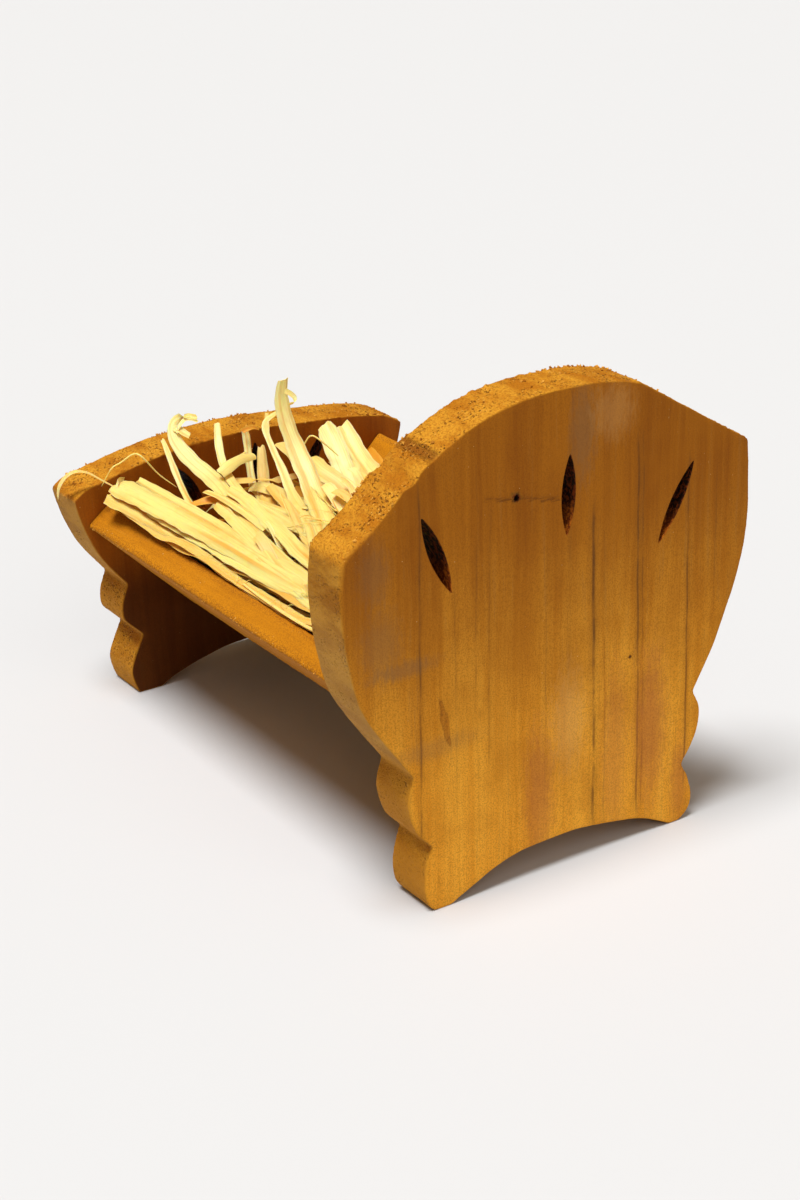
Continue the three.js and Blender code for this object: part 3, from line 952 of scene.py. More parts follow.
HEAD_WOOD = wood("head_board_wood", 2, HEAD_TOP_TONES, SAWN_TONES, SIDE_TONES, 1,
                 low_face=HEAD_LOW_TONES, marks=True, inner_y=HEAD_INNER_Y)
FOOT_WOOD = wood("foot_board_wood", 2, FOOT_TONES, SAWN_TONES, SIDE_TONES, 2, inner_y=FOOT_INNER_Y)
LEFT_WOOD = wood("left_plank_wood", 1, PLANK_TONES, SAWN_TONES, SIDE_TONES, 3)
RIGHT_WOOD = wood("right_plank_wood", 1, PLANK_TONES, SAWN_TONES, SIDE_TONES, 4)
FLOOR_WOOD = wood("floor_slat_wood", 1, PLANK_TONES, SAWN_TONES, SIDE_TONES, 5)


def dowel_wood():
    paint = Paint("dowel_wood")
    place = paint.place()
    grain = grain_space(paint, place, 1, 3.0)
    streak = paint.noise(grain, 1.4, 3.0, 0.6)
    colour = paint.mix(paint.ramp(streak, 0.35, 0.65), srgb(196, 156, 104), srgb(226, 194, 146))
    return paint.finish(colour, 0.6, streak, 0.2, 0.3)


# ---- the wooden pieces -----------------------------------------------------------------------------

DOWEL_REACH = 10.3
NAIL_DEPTH = 8.0
NAIL_WIDEST = 3.0
HEAD_SHOULDER = np.array([-77.0, 128.0])


def blind_depth(loop):
    """How deep a bore that wide goes: the nail hole is the narrow one."""
    return NAIL_DEPTH if np.ptp(loop[:, 0]) < NAIL_WIDEST else DOWEL_REACH


def board_arris(loop):
    """Eased edges, softer on the left shoulder and in patches."""
    places = np.stack([loop[:, 0], loop[:, 0] * 0, loop[:, 1]], 1)
    uneven = lattice_noise(places, 9.0, 31)
    shoulder = smoothstep(20, 4, np.linalg.norm(loop - HEAD_SHOULDER, axis=1))
    return 0.55 + 0.18 * uneven + 0.9 * shoulder


def plank_arris(loop):
    return np.full(len(loop), 0.3)


def roughen_plank(piece, seed):
    """A plank's section runs along y, so all its long faces are walls: planed, with soft fuzz."""
    points, normals, values = read_values(piece)
    grain = lattice_noise(points * np.array([1, 0.08, 1]), 2.4, seed)
    fuzz = lattice_noise(points, 0.9, seed + 1)
    wave = lattice_noise(points, 17.0, seed + 2)
    ends = smoothstep(0.0, 2.0, values["rim"])
    torn = values["corner"] * (0.22 * lattice_noise(points * np.array([1, 0.5, 1]), 0.8,
                                                    seed + 3) - 0.12)
    move = (0.05 * grain + 0.05 * fuzz + 0.12 * wave + torn) * ends
    write_points(piece, points + normals * move[:, None])


CRUMBS_ABOVE = 60.0
BOARD_CRUMBS = 150
BOARD_CRUMB_SIZES = (0.2, 0.72)
PLANK_CRUMBS = 160
PLANK_CRUMB_SIZES = (0.14, 0.38)


def board_crumb_chance(points, normals, values, seed):
    """Most crumbs lie along the back arris of the sawn top, in patches."""
    behind = points[:, 1].max() - points[:, 1]
    patch = smoothstep(-0.1, 0.5, lattice_noise(points, 11.0, seed))
    chance = (normals[:, 2] > 0.35) * (0.03 + np.exp(-behind / 1.2)) * (0.04 + patch)
    return chance * (values["sawn"] > 0.3) * (values["hole"] == 0) * (points[:, 2] > CRUMBS_ABOVE)


def plank_crumb_chance(points, normals, values, seed):
    """Fuzz along the outer arris of a plank's top edge."""
    outwards = np.abs(points[:, 0] - TROUGH_X)
    patch = smoothstep(-0.3, 0.5, lattice_noise(points, 7.0, seed))
    return (outwards > outwards.max() - 0.9) * (0.1 + patch)


def make_crumbs(board, chance, count, sizes, seed):
    """Torn grains of wood left on the sawn edges, as small uneven lumps."""
    points, normals, values = read_values(board)
    rng = np.random.default_rng(seed)
    odds = chance(points, normals, values, seed)
    picked = rng.choice(len(points), count, replace=False, p=odds / odds.sum())
    build = Build("grain")
    for i in picked:
        size = rng.uniform(*sizes) * (1.3 if rng.random() < 0.10 else 1.0)
        centre = points[i] + normals[i] * size * 0.35
        spin = Quaternion(Vector(rng.normal(size=3)).normalized(), rng.uniform(0, math.pi))
        corners = []
        for x, y, z in ((1, 0, 0), (0, 1, 0), (-1, 0, 0), (0, -1, 0), (0, 0, 1), (0, 0, -1)):
            stretch = rng.uniform(0.6, 1.25)
            corners.append(centre + np.array(spin @ Vector((x, y, z))) * size * stretch)
        numbers = build.add(np.array(corners), grain=rng.uniform(0, 1))
        for k in range(4):
            a = numbers[k]
            b = numbers[(k + 1) % 4]
            build.face((a, b, numbers[4]))
            build.face((b, a, numbers[5]))
    paint = Paint("crumb_wood")
    tint = paint.mix(paint.value("grain"), srgb(150, 88, 18), srgb(226, 164, 66))
    grit = paint.noise(paint.place(), 3.0, 2.0)
    tint = paint.stain(tint, grit, 0.45, 0.65, 0.25, SPECK_TONE)
    name = board.name.replace("_fine", "_crumbs")
    crumbs = build.to_object(name, paint.finish(tint, 0.8, grit, 0.1, 0.1), shade=False)
    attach(crumbs, WOOD_BODY)


def make_wood():
    for node, material, back_is_low, worn_corner, seed in (
        ("head_board", HEAD_WOOD, False, HEAD_SHOULDER, 11),
        ("foot_board", FOOT_WOOD, True, None, 23),
    ):
        piece = fine_prism(
            node, material, spacing=0.62, pitch=1.7, arris=board_arris, ease_rounds=3,
            hole_depth=blind_depth, seed=seed, worn_corner=worn_corner,
            roughen=lambda made: roughen_board(made, seed, back_is_low))
        make_crumbs(piece, board_crumb_chance, BOARD_CRUMBS, BOARD_CRUMB_SIZES, seed)
    for node, material, seed in (
        ("left_side_plank", LEFT_WOOD, 41),
        ("right_side_plank", RIGHT_WOOD, 47),
        ("trough_floor_slat", FLOOR_WOOD, 53),
    ):
        piece = fine_prism(
            node, material, spacing=1.0, pitch=1.5, arris=plank_arris, ease_rounds=2,
            hole_depth=blind_depth, seed=seed, wall_look=0.0,
            roughen=lambda made: roughen_plank(made, seed))
        if node.endswith("plank"):
            make_crumbs(piece, plank_crumb_chance, PLANK_CRUMBS, PLANK_CRUMB_SIZES, seed)
    material = dowel_wood()
    for name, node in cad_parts.items():
        if name.startswith("dowel_"):
            node.data.materials.clear()
            node.data.materials.append(material)


# ---- hay: the pile it lies in ----------------------------------------------------------------------
# The hay is loose raffia: flat ribbons a few millimetres wide. Each one is dropped on those before it.
# x is from the trough's middle here, and to_row moves it into the row frame.

SLAT_LOW, SLAT_HIGH = (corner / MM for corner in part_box("trough_floor_slat"))
PLANK_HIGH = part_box("left_side_plank")[1] / MM
FLOOR_TOP = SLAT_HIGH.z
FLOOR_HALF = (SLAT_HIGH.x - SLAT_LOW.x) / 2
ARRIS_TOP = PLANK_HIGH.z
ARRIS_X = FLOOR_HALF + ARRIS_TOP - FLOOR_TOP
ARRIS_FALL = 0.8  # how steeply the plank's top edge falls away outwards
WOOD_CLEARANCE = 0.9
HAY_END = 87.0
PILE_X = 78.0
RAFFIA_THICKNESS = 0.22


def trough_height(x):
    """Height of the wood under the hay, x from the trough's middle."""
    away = np.abs(x)
    slope = FLOOR_TOP + np.maximum(away - FLOOR_HALF, 0)
    over = ARRIS_TOP - (away - ARRIS_X) * ARRIS_FALL
    return np.minimum(slope, np.maximum(over, 0)) + WOOD_CLEARANCE


def to_row(points):
    return points + np.array([TROUGH_X, 0, 0])


class Pile:
    """The height of everything laid so far, on a grid of one-millimetre cells."""

    def __init__(self):
        self.xs = np.arange(-PILE_X, PILE_X + 1)
        self.ys = np.arange(-HAY_END - 3, HAY_END + 4)
        self.height = np.repeat(trough_height(self.xs)[:, None], len(self.ys), 1)

    def cells(self, flat):
        i = np.clip(np.rint(flat[..., 0] + PILE_X).astype(int), 0, len(self.xs) - 1)
        j = np.clip(np.rint(flat[..., 1] - self.ys[0]).astype(int), 0, len(self.ys) - 1)
        return i, j

    def settle(self, flat, aside, width, stiffness):
        """Heights and sideways slope of a ribbon laid along the flat route."""
        offsets = np.array([-0.5, -0.25, 0.0, 0.25, 0.5])
        spots = flat[:, None, :] + aside[:, None, :] * (width[:, None] * offsets)[..., None]
        heights = self.height[self.cells(spots)]
        slope = (heights[:, 4] - heights[:, 0]) / np.maximum(width, 1)
        slope = np.clip(running_mean(slope, 4), -1.0, 1.0)
        base = (heights - slope[:, None] * width[:, None] * offsets).max(1)
        reach = distance_along(flat)
        gap = reach[:, None] - reach[None, :]
        return (base[None, :] - stiffness * gap * gap).max(1), slope

    def lay(self, flat, aside, width, height, slope):
        for share in np.linspace(-0.5, 0.5, 15):
            spots = flat + aside * (width * share)[:, None]
            top = height + slope * width * share + RAFFIA_THICKNESS
            np.maximum.at(self.height, self.cells(spots), top)


def drape(pile, points, step, width_at, stiffness=0.02):
    """A given route, lifted where it would sink into the pile, and added to the pile there."""
    centre, reach = curve_through(points, step)
    width = width_at(reach / reach[-1])
    flat = centre[:, :2]
    along = np.gradient(flat, axis=0)
    along = along / np.maximum(np.linalg.norm(along, axis=1, keepdims=True), 1e-6)
    aside = to_the_right(along)
    resting, _ = pile.settle(flat, aside, width * 0.6, stiffness)
    resting = resting + RAFFIA_THICKNESS
    clear = np.maximum(centre[:, 2] - resting, 0)
    centre[:, 2] = resting + clear * smoothstep(0.5, 5.0, clear)
    steep = np.abs(np.gradient(centre[:, 2], reach)) > 0.5
    touches = (centre[:, 2] - resting < 2.0) & ~steep
    if touches.any():
        pile.lay(flat[touches], aside[touches], width[touches] * 0.8, centre[touches, 2],
                 np.zeros(touches.sum()))
    centre[:, 2] = running_mean(centre[:, 2], 2)
    return centre, width


FOOT_LIMIT_Y = -83.0
FOOT_LIMIT_X = 46.0


def with_foot(points, length, turn):
    """The route with one more point beyond its last, where it lies on the pile."""
    last = np.array(points[-1], float)
    way = last[:2] - np.array(points[-2], float)[:2]
    way = way / np.linalg.norm(way)
    way = np.array([way[0] * math.cos(turn) - way[1] * math.sin(turn),
                    way[0] * math.sin(turn) + way[1] * math.cos(turn)])
    end = last[:2] + way * length
    end = np.array([np.clip(end[0], -FOOT_LIMIT_X, FOOT_LIMIT_X), max(end[1], FOOT_LIMIT_Y)])
    if np.linalg.norm(end - last[:2]) < 8:
        return list(points)
    return list(points) + [tuple((last[:2] + end) / 2) + (last[2] - 1.5,), tuple(end) + (last[2] - 4.0,)]


def curve_through(points, step):
    """A smooth curve through given points, in equal steps, with its share of the way along."""
    run = smooth_run(np.asarray(points, float))
    reach = distance_along(run)
    count = max(4, round(reach[-1] / step))
    at = np.linspace(0, reach[-1], count)
    return np.stack([np.interp(at, reach, run[:, k]) for k in range(run.shape[1])], 1), at


# ---- hay: ribbons and fibres -----------------------------------------------------------------------


def unit(vectors):
    return vectors / np.maximum(np.linalg.norm(vectors, axis=-1, keepdims=True), 1e-9)


def ribbon(build, centre, across, width, rng, *, columns=6, cup=0.12, pleat=0.08, tone=0.5, tear=0.8):
    """One closed flat ribbon along centre. across is the direction of its width at each point."""
    n = len(centre)
    along = unit(np.gradient(centre, axis=0))
    side = unit(across - along * np.sum(across * along, 1)[:, None])
    face = np.cross(along, side)
    reach = distance_along(centre)
    u = np.linspace(-1, 1, columns)
    phase = rng.uniform(0, 2 * math.pi, 4)
    waves = rng.uniform(0.9, 1.9, 2)
    drift = np.sin(reach / rng.uniform(14, 34) + phase[2])
    swell = 0.65 + 0.35 * np.sin(reach / rng.uniform(9, 22) + phase[3])
    ridge = (np.sin(waves[0] * math.pi * u[None, :] + phase[0] + drift[:, None] * 0.9)
             + 0.5 * np.sin(waves[1] * 2 * math.pi * u[None, :] + phase[1])) * swell[:, None]
    half = width / 2 * (1 + 0.05 * np.sin(reach / 3.1 + phase[1]) + 0.04 * np.sin(reach / 1.3 + phase[0]))
    bend = cup * half[:, None] * u[None, :] ** 2 + pleat * ridge * half[:, None]
    slant = rng.uniform(-0.9, 0.9, 2)
    teeth = rng.uniform(-1, 1, (2, 4)) * tear * min(1.0, width.mean() / 4)
    ragged = np.stack([np.interp(u, [-1, -0.3, 0.4, 1], row) for row in teeth])
    ragged += slant[:, None] * u * np.array([half[0], half[-1]])[:, None] * 0.5
    near_start = smoothstep(6, 0, reach)[:, None]
    near_end = smoothstep(6, 0, reach[-1] - reach)[:, None]
    slide = near_start * ragged[0] + near_end * ragged[1]
    half = half * (1 - 0.12 * smoothstep(4, 0, reach) - 0.12 * smoothstep(4, 0, reach[-1] - reach))
    body = (centre[:, None, :] + side[:, None, :] * (half[:, None] * u)[..., None]
            + face[:, None, :] * bend[..., None] + along[:, None, :] * slide[..., None])
    thick = RAFFIA_THICKNESS / 2 * (1 - u ** 6)
    top = body + face[:, None, :] * thick[None, :, None]
    under = body - face[:, None, :] * thick[None, :, None]
    ring_points = np.concatenate([top, under[:, -2:0:-1]], 1)
    around = np.concatenate([u, u[-2:0:-1]])
    # How deep each point lies in a hollow of the pleats: the folds get painted amber shade from it.
    dip = smoothstep(-0.1, -1.2, ridge) * min(1.0, pleat / 0.12)
    dip = np.concatenate([dip, dip[:, -2:0:-1]], 1)
    size = ring_points.shape[1]
    # How upright the ribbon runs: its upright stretches get painted light from it.
    upright = running_mean(smoothstep(0.15, 0.75, np.abs(along[:, 2])), 3)
    rings = []
    for k in range(n):
        is_end = k in (0, n - 1)
        rings.append(build.add(
            to_row(ring_points[k]),
            across=around * half[k],
            along=reach[k],
            tone=tone,
            fold=dip[k],
            crease=np.maximum(np.abs(around) == 1, is_end),
            upright=upright[k],
        ))
    for ahead, behind in zip(rings[1:], rings):
        build.strip(ahead, behind)
    for ring, is_end in ((rings[0], False), (rings[-1], True)):
        for k in range(columns - 1):
            low_a = ring[(size - k) % size]
            low_b = ring[size - k - 1]
            corners = list(dict.fromkeys(int(c) for c in (ring[k], ring[k + 1], low_b, low_a)))
            build.face(corners if is_end else corners[::-1])


def fibre(build, centre, radius, tone):
    """A thin round strand, pointed at both ends."""
    along = unit(np.gradient(centre, axis=0))
    side = unit(np.cross(along, np.array([0.31, 0.17, 0.93])))
    face = np.cross(along, side)
    n = len(centre)
    taper = np.sin(np.linspace(0.12, math.pi - 0.12, n)) ** 0.5
    previous = None
    for k in range(n):
        turn = np.arange(4) * math.pi / 2
        offset = (np.cos(turn)[:, None] * side[k] + np.sin(turn)[:, None] * face[k]) * radius * taper[k]
        ring = build.add(to_row(centre[k] + offset), across=0.0, along=k * 1.0, tone=tone)
        if previous is None:
            build.face(ring[::-1])
        else:
            build.strip(previous, ring)
        previous = ring
    build.face(previous)


def wander(rng, start, heading, length, bend, step=2.0):
    """A flat route from start. heading is its turn from +y towards -x, and bend how much it sways."""
    count = max(6, int(length / step))
    reach = np.arange(count) * step
    sway = (bend * np.sin(reach / rng.uniform(25, 60) + rng.uniform(0, 6.3))
            + rng.normal(0, bend * 0.6) * (reach / max(length, 1)))
    turn = heading + sway
    steps = np.stack([-np.sin(turn), np.cos(turn)], 1) * step
    return np.asarray(start, float) + np.cumsum(steps, 0)


def keep_inside(route, half_x, half_y):
    """The longest first stretch of a route that stays within the trough."""
    out = (np.abs(route[:, 0]) > half_x) | (np.abs(route[:, 1]) > half_y)
    if out.any():
        route = route[:int(np.argmax(out))]
    return route


def scatter(build, pile, rng, count, recipe, tones):
    """Drops ribbons on the pile. recipe(rng) gives a route, a width and how its ends lift."""
    for _ in range(count):
        route, width, lift = recipe(rng)
        if len(route) < 10:
            continue
        share = np.linspace(0, 1, len(route))
        widths = width * (0.85 + 0.25 * np.sin(share * rng.uniform(2, 5) + rng.uniform(0, 6)))
        along = unit(np.gradient(route, axis=0))
        aside = to_the_right(along)
        height, slope = pile.settle(route, aside, widths, rng.uniform(0.015, 0.04))
        pile.lay(route, aside, widths, height, slope)
        rise = (lift[0] * smoothstep(0.35, 0.0, share) ** 1.5
                + lift[1] * smoothstep(0.65, 1.0, share) ** 1.5)
        centre = np.column_stack([route, height + RAFFIA_THICKNESS + rise])
        twist = rng.normal(0, 0.25) * np.sin(share * math.pi * rng.uniform(0.5, 1.5)) * (rise > 1)
        across = np.column_stack([aside, slope + twist])
        ribbon(build, centre, across, widths, rng, columns=6, cup=rng.uniform(-0.2, 0.2),
               pleat=rng.uniform(0.02, 0.09), tone=rng.uniform(*tones))


def bottom_recipe(rng):
    start = (rng.uniform(-ARRIS_X + 5, ARRIS_X - 5), rng.uniform(-86, -20))
    route = wander(rng, start, rng.normal(0, 0.10), rng.uniform(100, 170), 0.06)
    return keep_inside(route, ARRIS_X - 4, HAY_END), rng.uniform(3.5, 8.0), (0, 0)


def middle_recipe(rng):
    start = (rng.uniform(-45, 45), rng.uniform(-86, 20))
    route = wander(rng, start, rng.normal(0.05, 0.22), rng.uniform(60, 150), 0.12)
    route = route[route[:, 1] < rng.uniform(20, HAY_END)]
    return keep_inside(route, ARRIS_X - 7, HAY_END - 2), rng.uniform(2.0, 7.0), (0, rng.uniform(0, 3))


def top_recipe(rng):
    start = (rng.uniform(-42, 42), rng.uniform(-86, 0))
    route = wander(rng, start, rng.normal(0.12, 0.20), rng.uniform(60, 140), 0.14)
    route = route[route[:, 1] < rng.uniform(5, 70)]
    lift = (rng.uniform(0, 2), rng.uniform(2, 14) if rng.random() < 0.4 else rng.uniform(0, 3))
    return keep_inside(route, ARRIS_X - 9, HAY_END - 4), rng.uniform(1.6, 6.5), lift


def cross_recipe(rng):
    start = (rng.uniform(-40, 40), rng.uniform(-60, 60))
    route = wander(rng, start, rng.choice([-1, 1]) * rng.uniform(0.6, 1.3), rng.uniform(30, 70), 0.25)
    return keep_inside(route, ARRIS_X - 10, HAY_END - 6), rng.uniform(1.2, 3.6), (rng.uniform(0, 4),) * 2


CORE_TOP = 73.0
CORE_FALL = 22.0
CORE_END_Y = 82.0
CORE_STEP = 2.0
CORE_COLUMNS = 60
CORE_INSET = 3.2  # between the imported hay's underside and the wood


def core_fall(y):
    """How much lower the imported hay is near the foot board."""
    return CORE_FALL * smoothstep(36, 70, y)


def core_top(x, y):
    """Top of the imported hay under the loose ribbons."""
    crown = CORE_TOP + 3.5 * (1 - (np.abs(x) / ARRIS_X) ** 2) - core_fall(y)
    points = np.stack([np.broadcast_to(x, np.shape(crown + y)).ravel() * 3,
                       np.broadcast_to(y, np.shape(crown + y)).ravel(),
                       np.zeros(np.size(crown + y))], 1)
    return crown + 1.8 * lattice_noise(points, 14.0, 77).reshape(np.shape(crown + y))


CORE_END_SHARES = (0.94, 0.86, 0.76, 0.65, 0.53, 0.40, 0.26, 0.12)
# The core's top is painted dark as shade where ribbons cover it; its bare sides keep the raffia tone.
CORE_SHADED_TOP_TONE = 0.05
CORE_SIDE_TONE = 0.62


def close_core_end(build, ring, points, outwards):
    """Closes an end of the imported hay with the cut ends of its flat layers, some longer than others."""
    centre = points.mean(0)
    for share in CORE_END_SHARES:
        inner = centre + (points - centre) * share
        layers = lattice_noise(inner * np.array([0.10, 1, 1]), 1.3, 6)
        tufts = lattice_noise(inner * np.array([0.35, 1, 0.6]), 2.4, 8)
        inner[:, 1] += outwards * (1.1 * layers + 0.9 * tufts)
        new = build.add(to_row(inner), across=inner[:, 2], along=inner[:, 0],
                        tone=CORE_SIDE_TONE + 0.3 * tufts)
        build.strip(new, ring)
        ring = new
    build.face(ring)


def packed_core(build):
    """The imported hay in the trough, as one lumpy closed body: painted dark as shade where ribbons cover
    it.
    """
    ys = np.arange(-CORE_END_Y, CORE_END_Y + 1, CORE_STEP)
    previous = None
    under_share = np.repeat([1.0, 0.0], CORE_COLUMNS)
    for y in ys:
        end = smoothstep(0, 9, CORE_END_Y - abs(y) + 1.5)
        half = (FLOOR_HALF + CORE_TOP - core_fall(y) - FLOOR_TOP - CORE_INSET * 1.6) * (0.93 + 0.07 * end)
        xs = np.linspace(-half, half, CORE_COLUMNS)
        top = core_top(xs, np.full(CORE_COLUMNS, y)) - (1 - end) * 5
        under = np.minimum(trough_height(xs) + CORE_INSET, top - 0.5)
        ring_xz = np.concatenate([np.stack([xs, under], 1), np.stack([xs, top], 1)[::-1]])
        points = np.column_stack([ring_xz[:, 0], np.full(2 * CORE_COLUMNS, y), ring_xz[:, 1]])
        stretch = points * np.array([1, 0.06, 1])
        strands = lattice_noise(stretch, 1.8, 5)
        points[:, 2] += (0.5 + 0.8 * under_share) * strands * end
        bare = np.maximum(under_share, smoothstep(-60, -72, y))
        tone = CORE_SHADED_TOP_TONE + bare * (CORE_SIDE_TONE + 0.5 * strands)
        ring = build.add(to_row(points), across=points[:, 0], along=y, tone=tone)
        if previous is None:
            close_core_end(build, ring, points, -1)
        else:
            build.strip(ring, previous)
        previous = ring
    close_core_end(build, previous, points, 1)


# Ribbons placed one by one: points from the trough's middle, widths at them, the direction of the
# width, cup, tone, and the CAD blade that each stands for.
BACK_RIBBONS = [
    ("thin", "hay_blade_thin",
     [(-44, 40, 84), (-42, 55, 85.5), (-40, 66, 89), (-39, 74, 95), (-38, 83, 103)],
     (2.4, 2.6, 2.6, 2.4, 1.8), (0.84, -0.5, 0), 0.2, 0.6),
    ("back_left", "hay_blade_back_left",
     [(-16, -10, 83), (-20, 12, 85), (-23, 27, 87), (-26, 40, 89), (-26, 51, 91), (-24, 62, 94),
      (-21, 71, 99),
      (-17, 79, 106)],
     (4.4, 4.4, 4.2, 4.0, 3.8, 3.4, 3.0, 2.6), (0.84, -0.5, 0), 0.15, 0.9),
    ("back_middle", "hay_blade_back_middle",
     [(-18, 44, 72), (-12.5, 58, 72.5), (-9.4, 66, 77.1), (-7.9, 72, 87.2), (-5.9, 77, 97.2),
      (-6.0, 78, 101.2)],
     (2.4, 2.4, 2.3, 2.5, 3.0, 2.8), (0.84, -0.5, 0.1), 0.25, 0.7),
    ("back_wide", "hay_blade_back_wide",
     [(-16, 42, 70), (-11.5, 53, 70.5), (-8.2, 60, 74), (-5.7, 66, 84), (-2.7, 72, 96.3)],
     (6, 6.2, 6.0, 4.8, 2.8), (0.84, -0.5, 0), 0.2, 0.45),
]
FRONT_RIBBONS = [
    ("tall_short", "hay_blade_tall_short",
     [(-30, -16, 81), (-26, -6, 82.5), (-18, 12, 84), (-11.2, 30, 85.4), (-7.6, 42, 87.6),
      (-4.9, 52, 91),
      (-4, 60, 96.5), (-3.4, 67, 103), (-1.4, 70, 105.4), (2, 71, 106.6), (5, 71.5, 107.6)],
     (6, 6, 6, 6, 5.8, 5.4, 4.8, 3.8, 2.6, 2.2, 2.0), (0.84, -0.5, 0), 0.20, 0.85),
    ("curled", "hay_blade_curled",
     [(-38, -46, 82), (-40, -20, 83.5), (-39, 2, 85), (-37, 16, 86), (-35, 31, 87), (-31, 48, 89),
      (-30, 61, 92),
      (-32, 70, 95.5), (-34, 77, 100), (-34.5, 81, 104.5), (-33, 82.5, 108.5), (-29.5, 81,
                                                                                110.5), (-26, 78,
                                                                                         109.5)],
     (4, 4.4, 4.6, 4.6, 4.6, 4.6, 4.8, 5.4, 6, 6.4, 6, 4, 2.4), (0.84, -0.5, 0.1), 0.15, 0.9),
    ("right_inner", "hay_blade_right_inner",
     [(10, 0, 82), (12, 20, 83), (14.5, 36, 85.5), (16, 44, 90), (17.5, 52, 96), (18.5, 61, 103)],
     (8, 8.5, 9, 8.8, 8.2, 7.4), (0.84, -0.4, 0.1), 0.15, 1.0),
    ("right_outer", "hay_blade_right_outer",
     [(24, 10, 83), (26, 30, 84.5), (27, 45, 88), (28, 56, 93), (29, 65, 99)],
     (7, 8, 8, 7.2, 6.0), (0.84, -0.4, 0.1), -0.2, 0.95),
    ("along_top", "hay_blade_along_top",
     [(-38, -70, 79), (-44, -45, 82.5), (-47.5, -30, 84), (-50.5, -12, 86), (-52, 9, 87.2),
      (-54, 33, 88.4),
      (-57, 62, 89.6), (-59.5, 80, 90.3)],
     (5, 6, 6.5, 7, 7.5, 8, 8.5, 8.5), (0.85, 0.05, 0.42), 0.10, 1.0),
    ("along_low", "hay_blade_along_low",
     [(-42, -60, 81.5), (-47, -33, 84), (-49, -10, 86.2), (-48.5, 6, 87.6), (-47.5, 24, 88.8),
      (-49, 38, 90),
      (-51, 54, 91.4), (-53, 75, 92.6)],
     (3.4, 3.6, 4.2, 4.6, 4.6, 4.2, 3.6, 3.0), (0.8, 0, 0.5), 0.3, 0.9),
    ("tall", "hay_blade_tall",
     [(-22, -14, 81.5), (-15.5, 4, 82.5), (-11, 14, 84.5), (-7, 24, 87), (-4, 32, 89.8),
      (-2.5, 39, 93.5),
      (-2, 47, 100.5), (-3, 52, 110), (-3.5, 54, 119), (-3, 53, 127.5)],
     (8, 9, 9.4, 9.4, 9, 8.4, 7.4, 6.4, 5.2, 3.8), (0.84, -0.5, 0), 0.12, 0.95),
]

# Torn tips and folded ends that hang off the ribbons above: points, widths at both ends, direction of
# the width, tone.
TIP_FLAPS = [
    ([(-11.2, 62, 96.4), (-17.9, 60, 97.2), (-23.2, 58.5, 96.6), (-28.9, 57, 94.8)], 3.6, 4.6,
     (0, 0.75, 0.65), 1.0),
    ([(-33.6, 80.6, 104.6), (-32.2, 80.2, 106.9), (-29.9, 80, 109.1), (-27.8, 78.7, 109.3),
      (-26.1, 77.1, 108.4)],
     1.6, 1.4, (0.1, 0.75, 0.6), 0.7),
    ([(-34, 80.4, 105.4), (-32.8, 80.2, 106), (-31.4, 78.6, 104.8), (-29.9, 77, 103.6)], 3.4, 3.0,
     (0.1, 0.75, 0.6), 0.7),
    ([(-3.2, 51.4, 122.6), (-1.9, 49.9, 121.6), (-1.0, 48.7, 120.3), (-1.6, 48.2, 118.8),
      (-3.6, 48.7, 118.0)],
     2.2, 1.4, (0.5, -0.3, 0.6), 0.6),
    ([(-8.3, 76, 101.1), (-6.1, 75.5, 101.9), (-4.0, 75.2, 102.1), (-1.5, 75, 100.7)], 2.4, 0.9,
     (0.1, 0.4, 0.9), 0.1),
    ([(-60.5, 79, 89.5), (-58.5, 80.5, 91.6), (-56.0, 80.6, 91.4)], 2.6, 2.2, (0.5, 0.1, 0.8), 0.8),
]

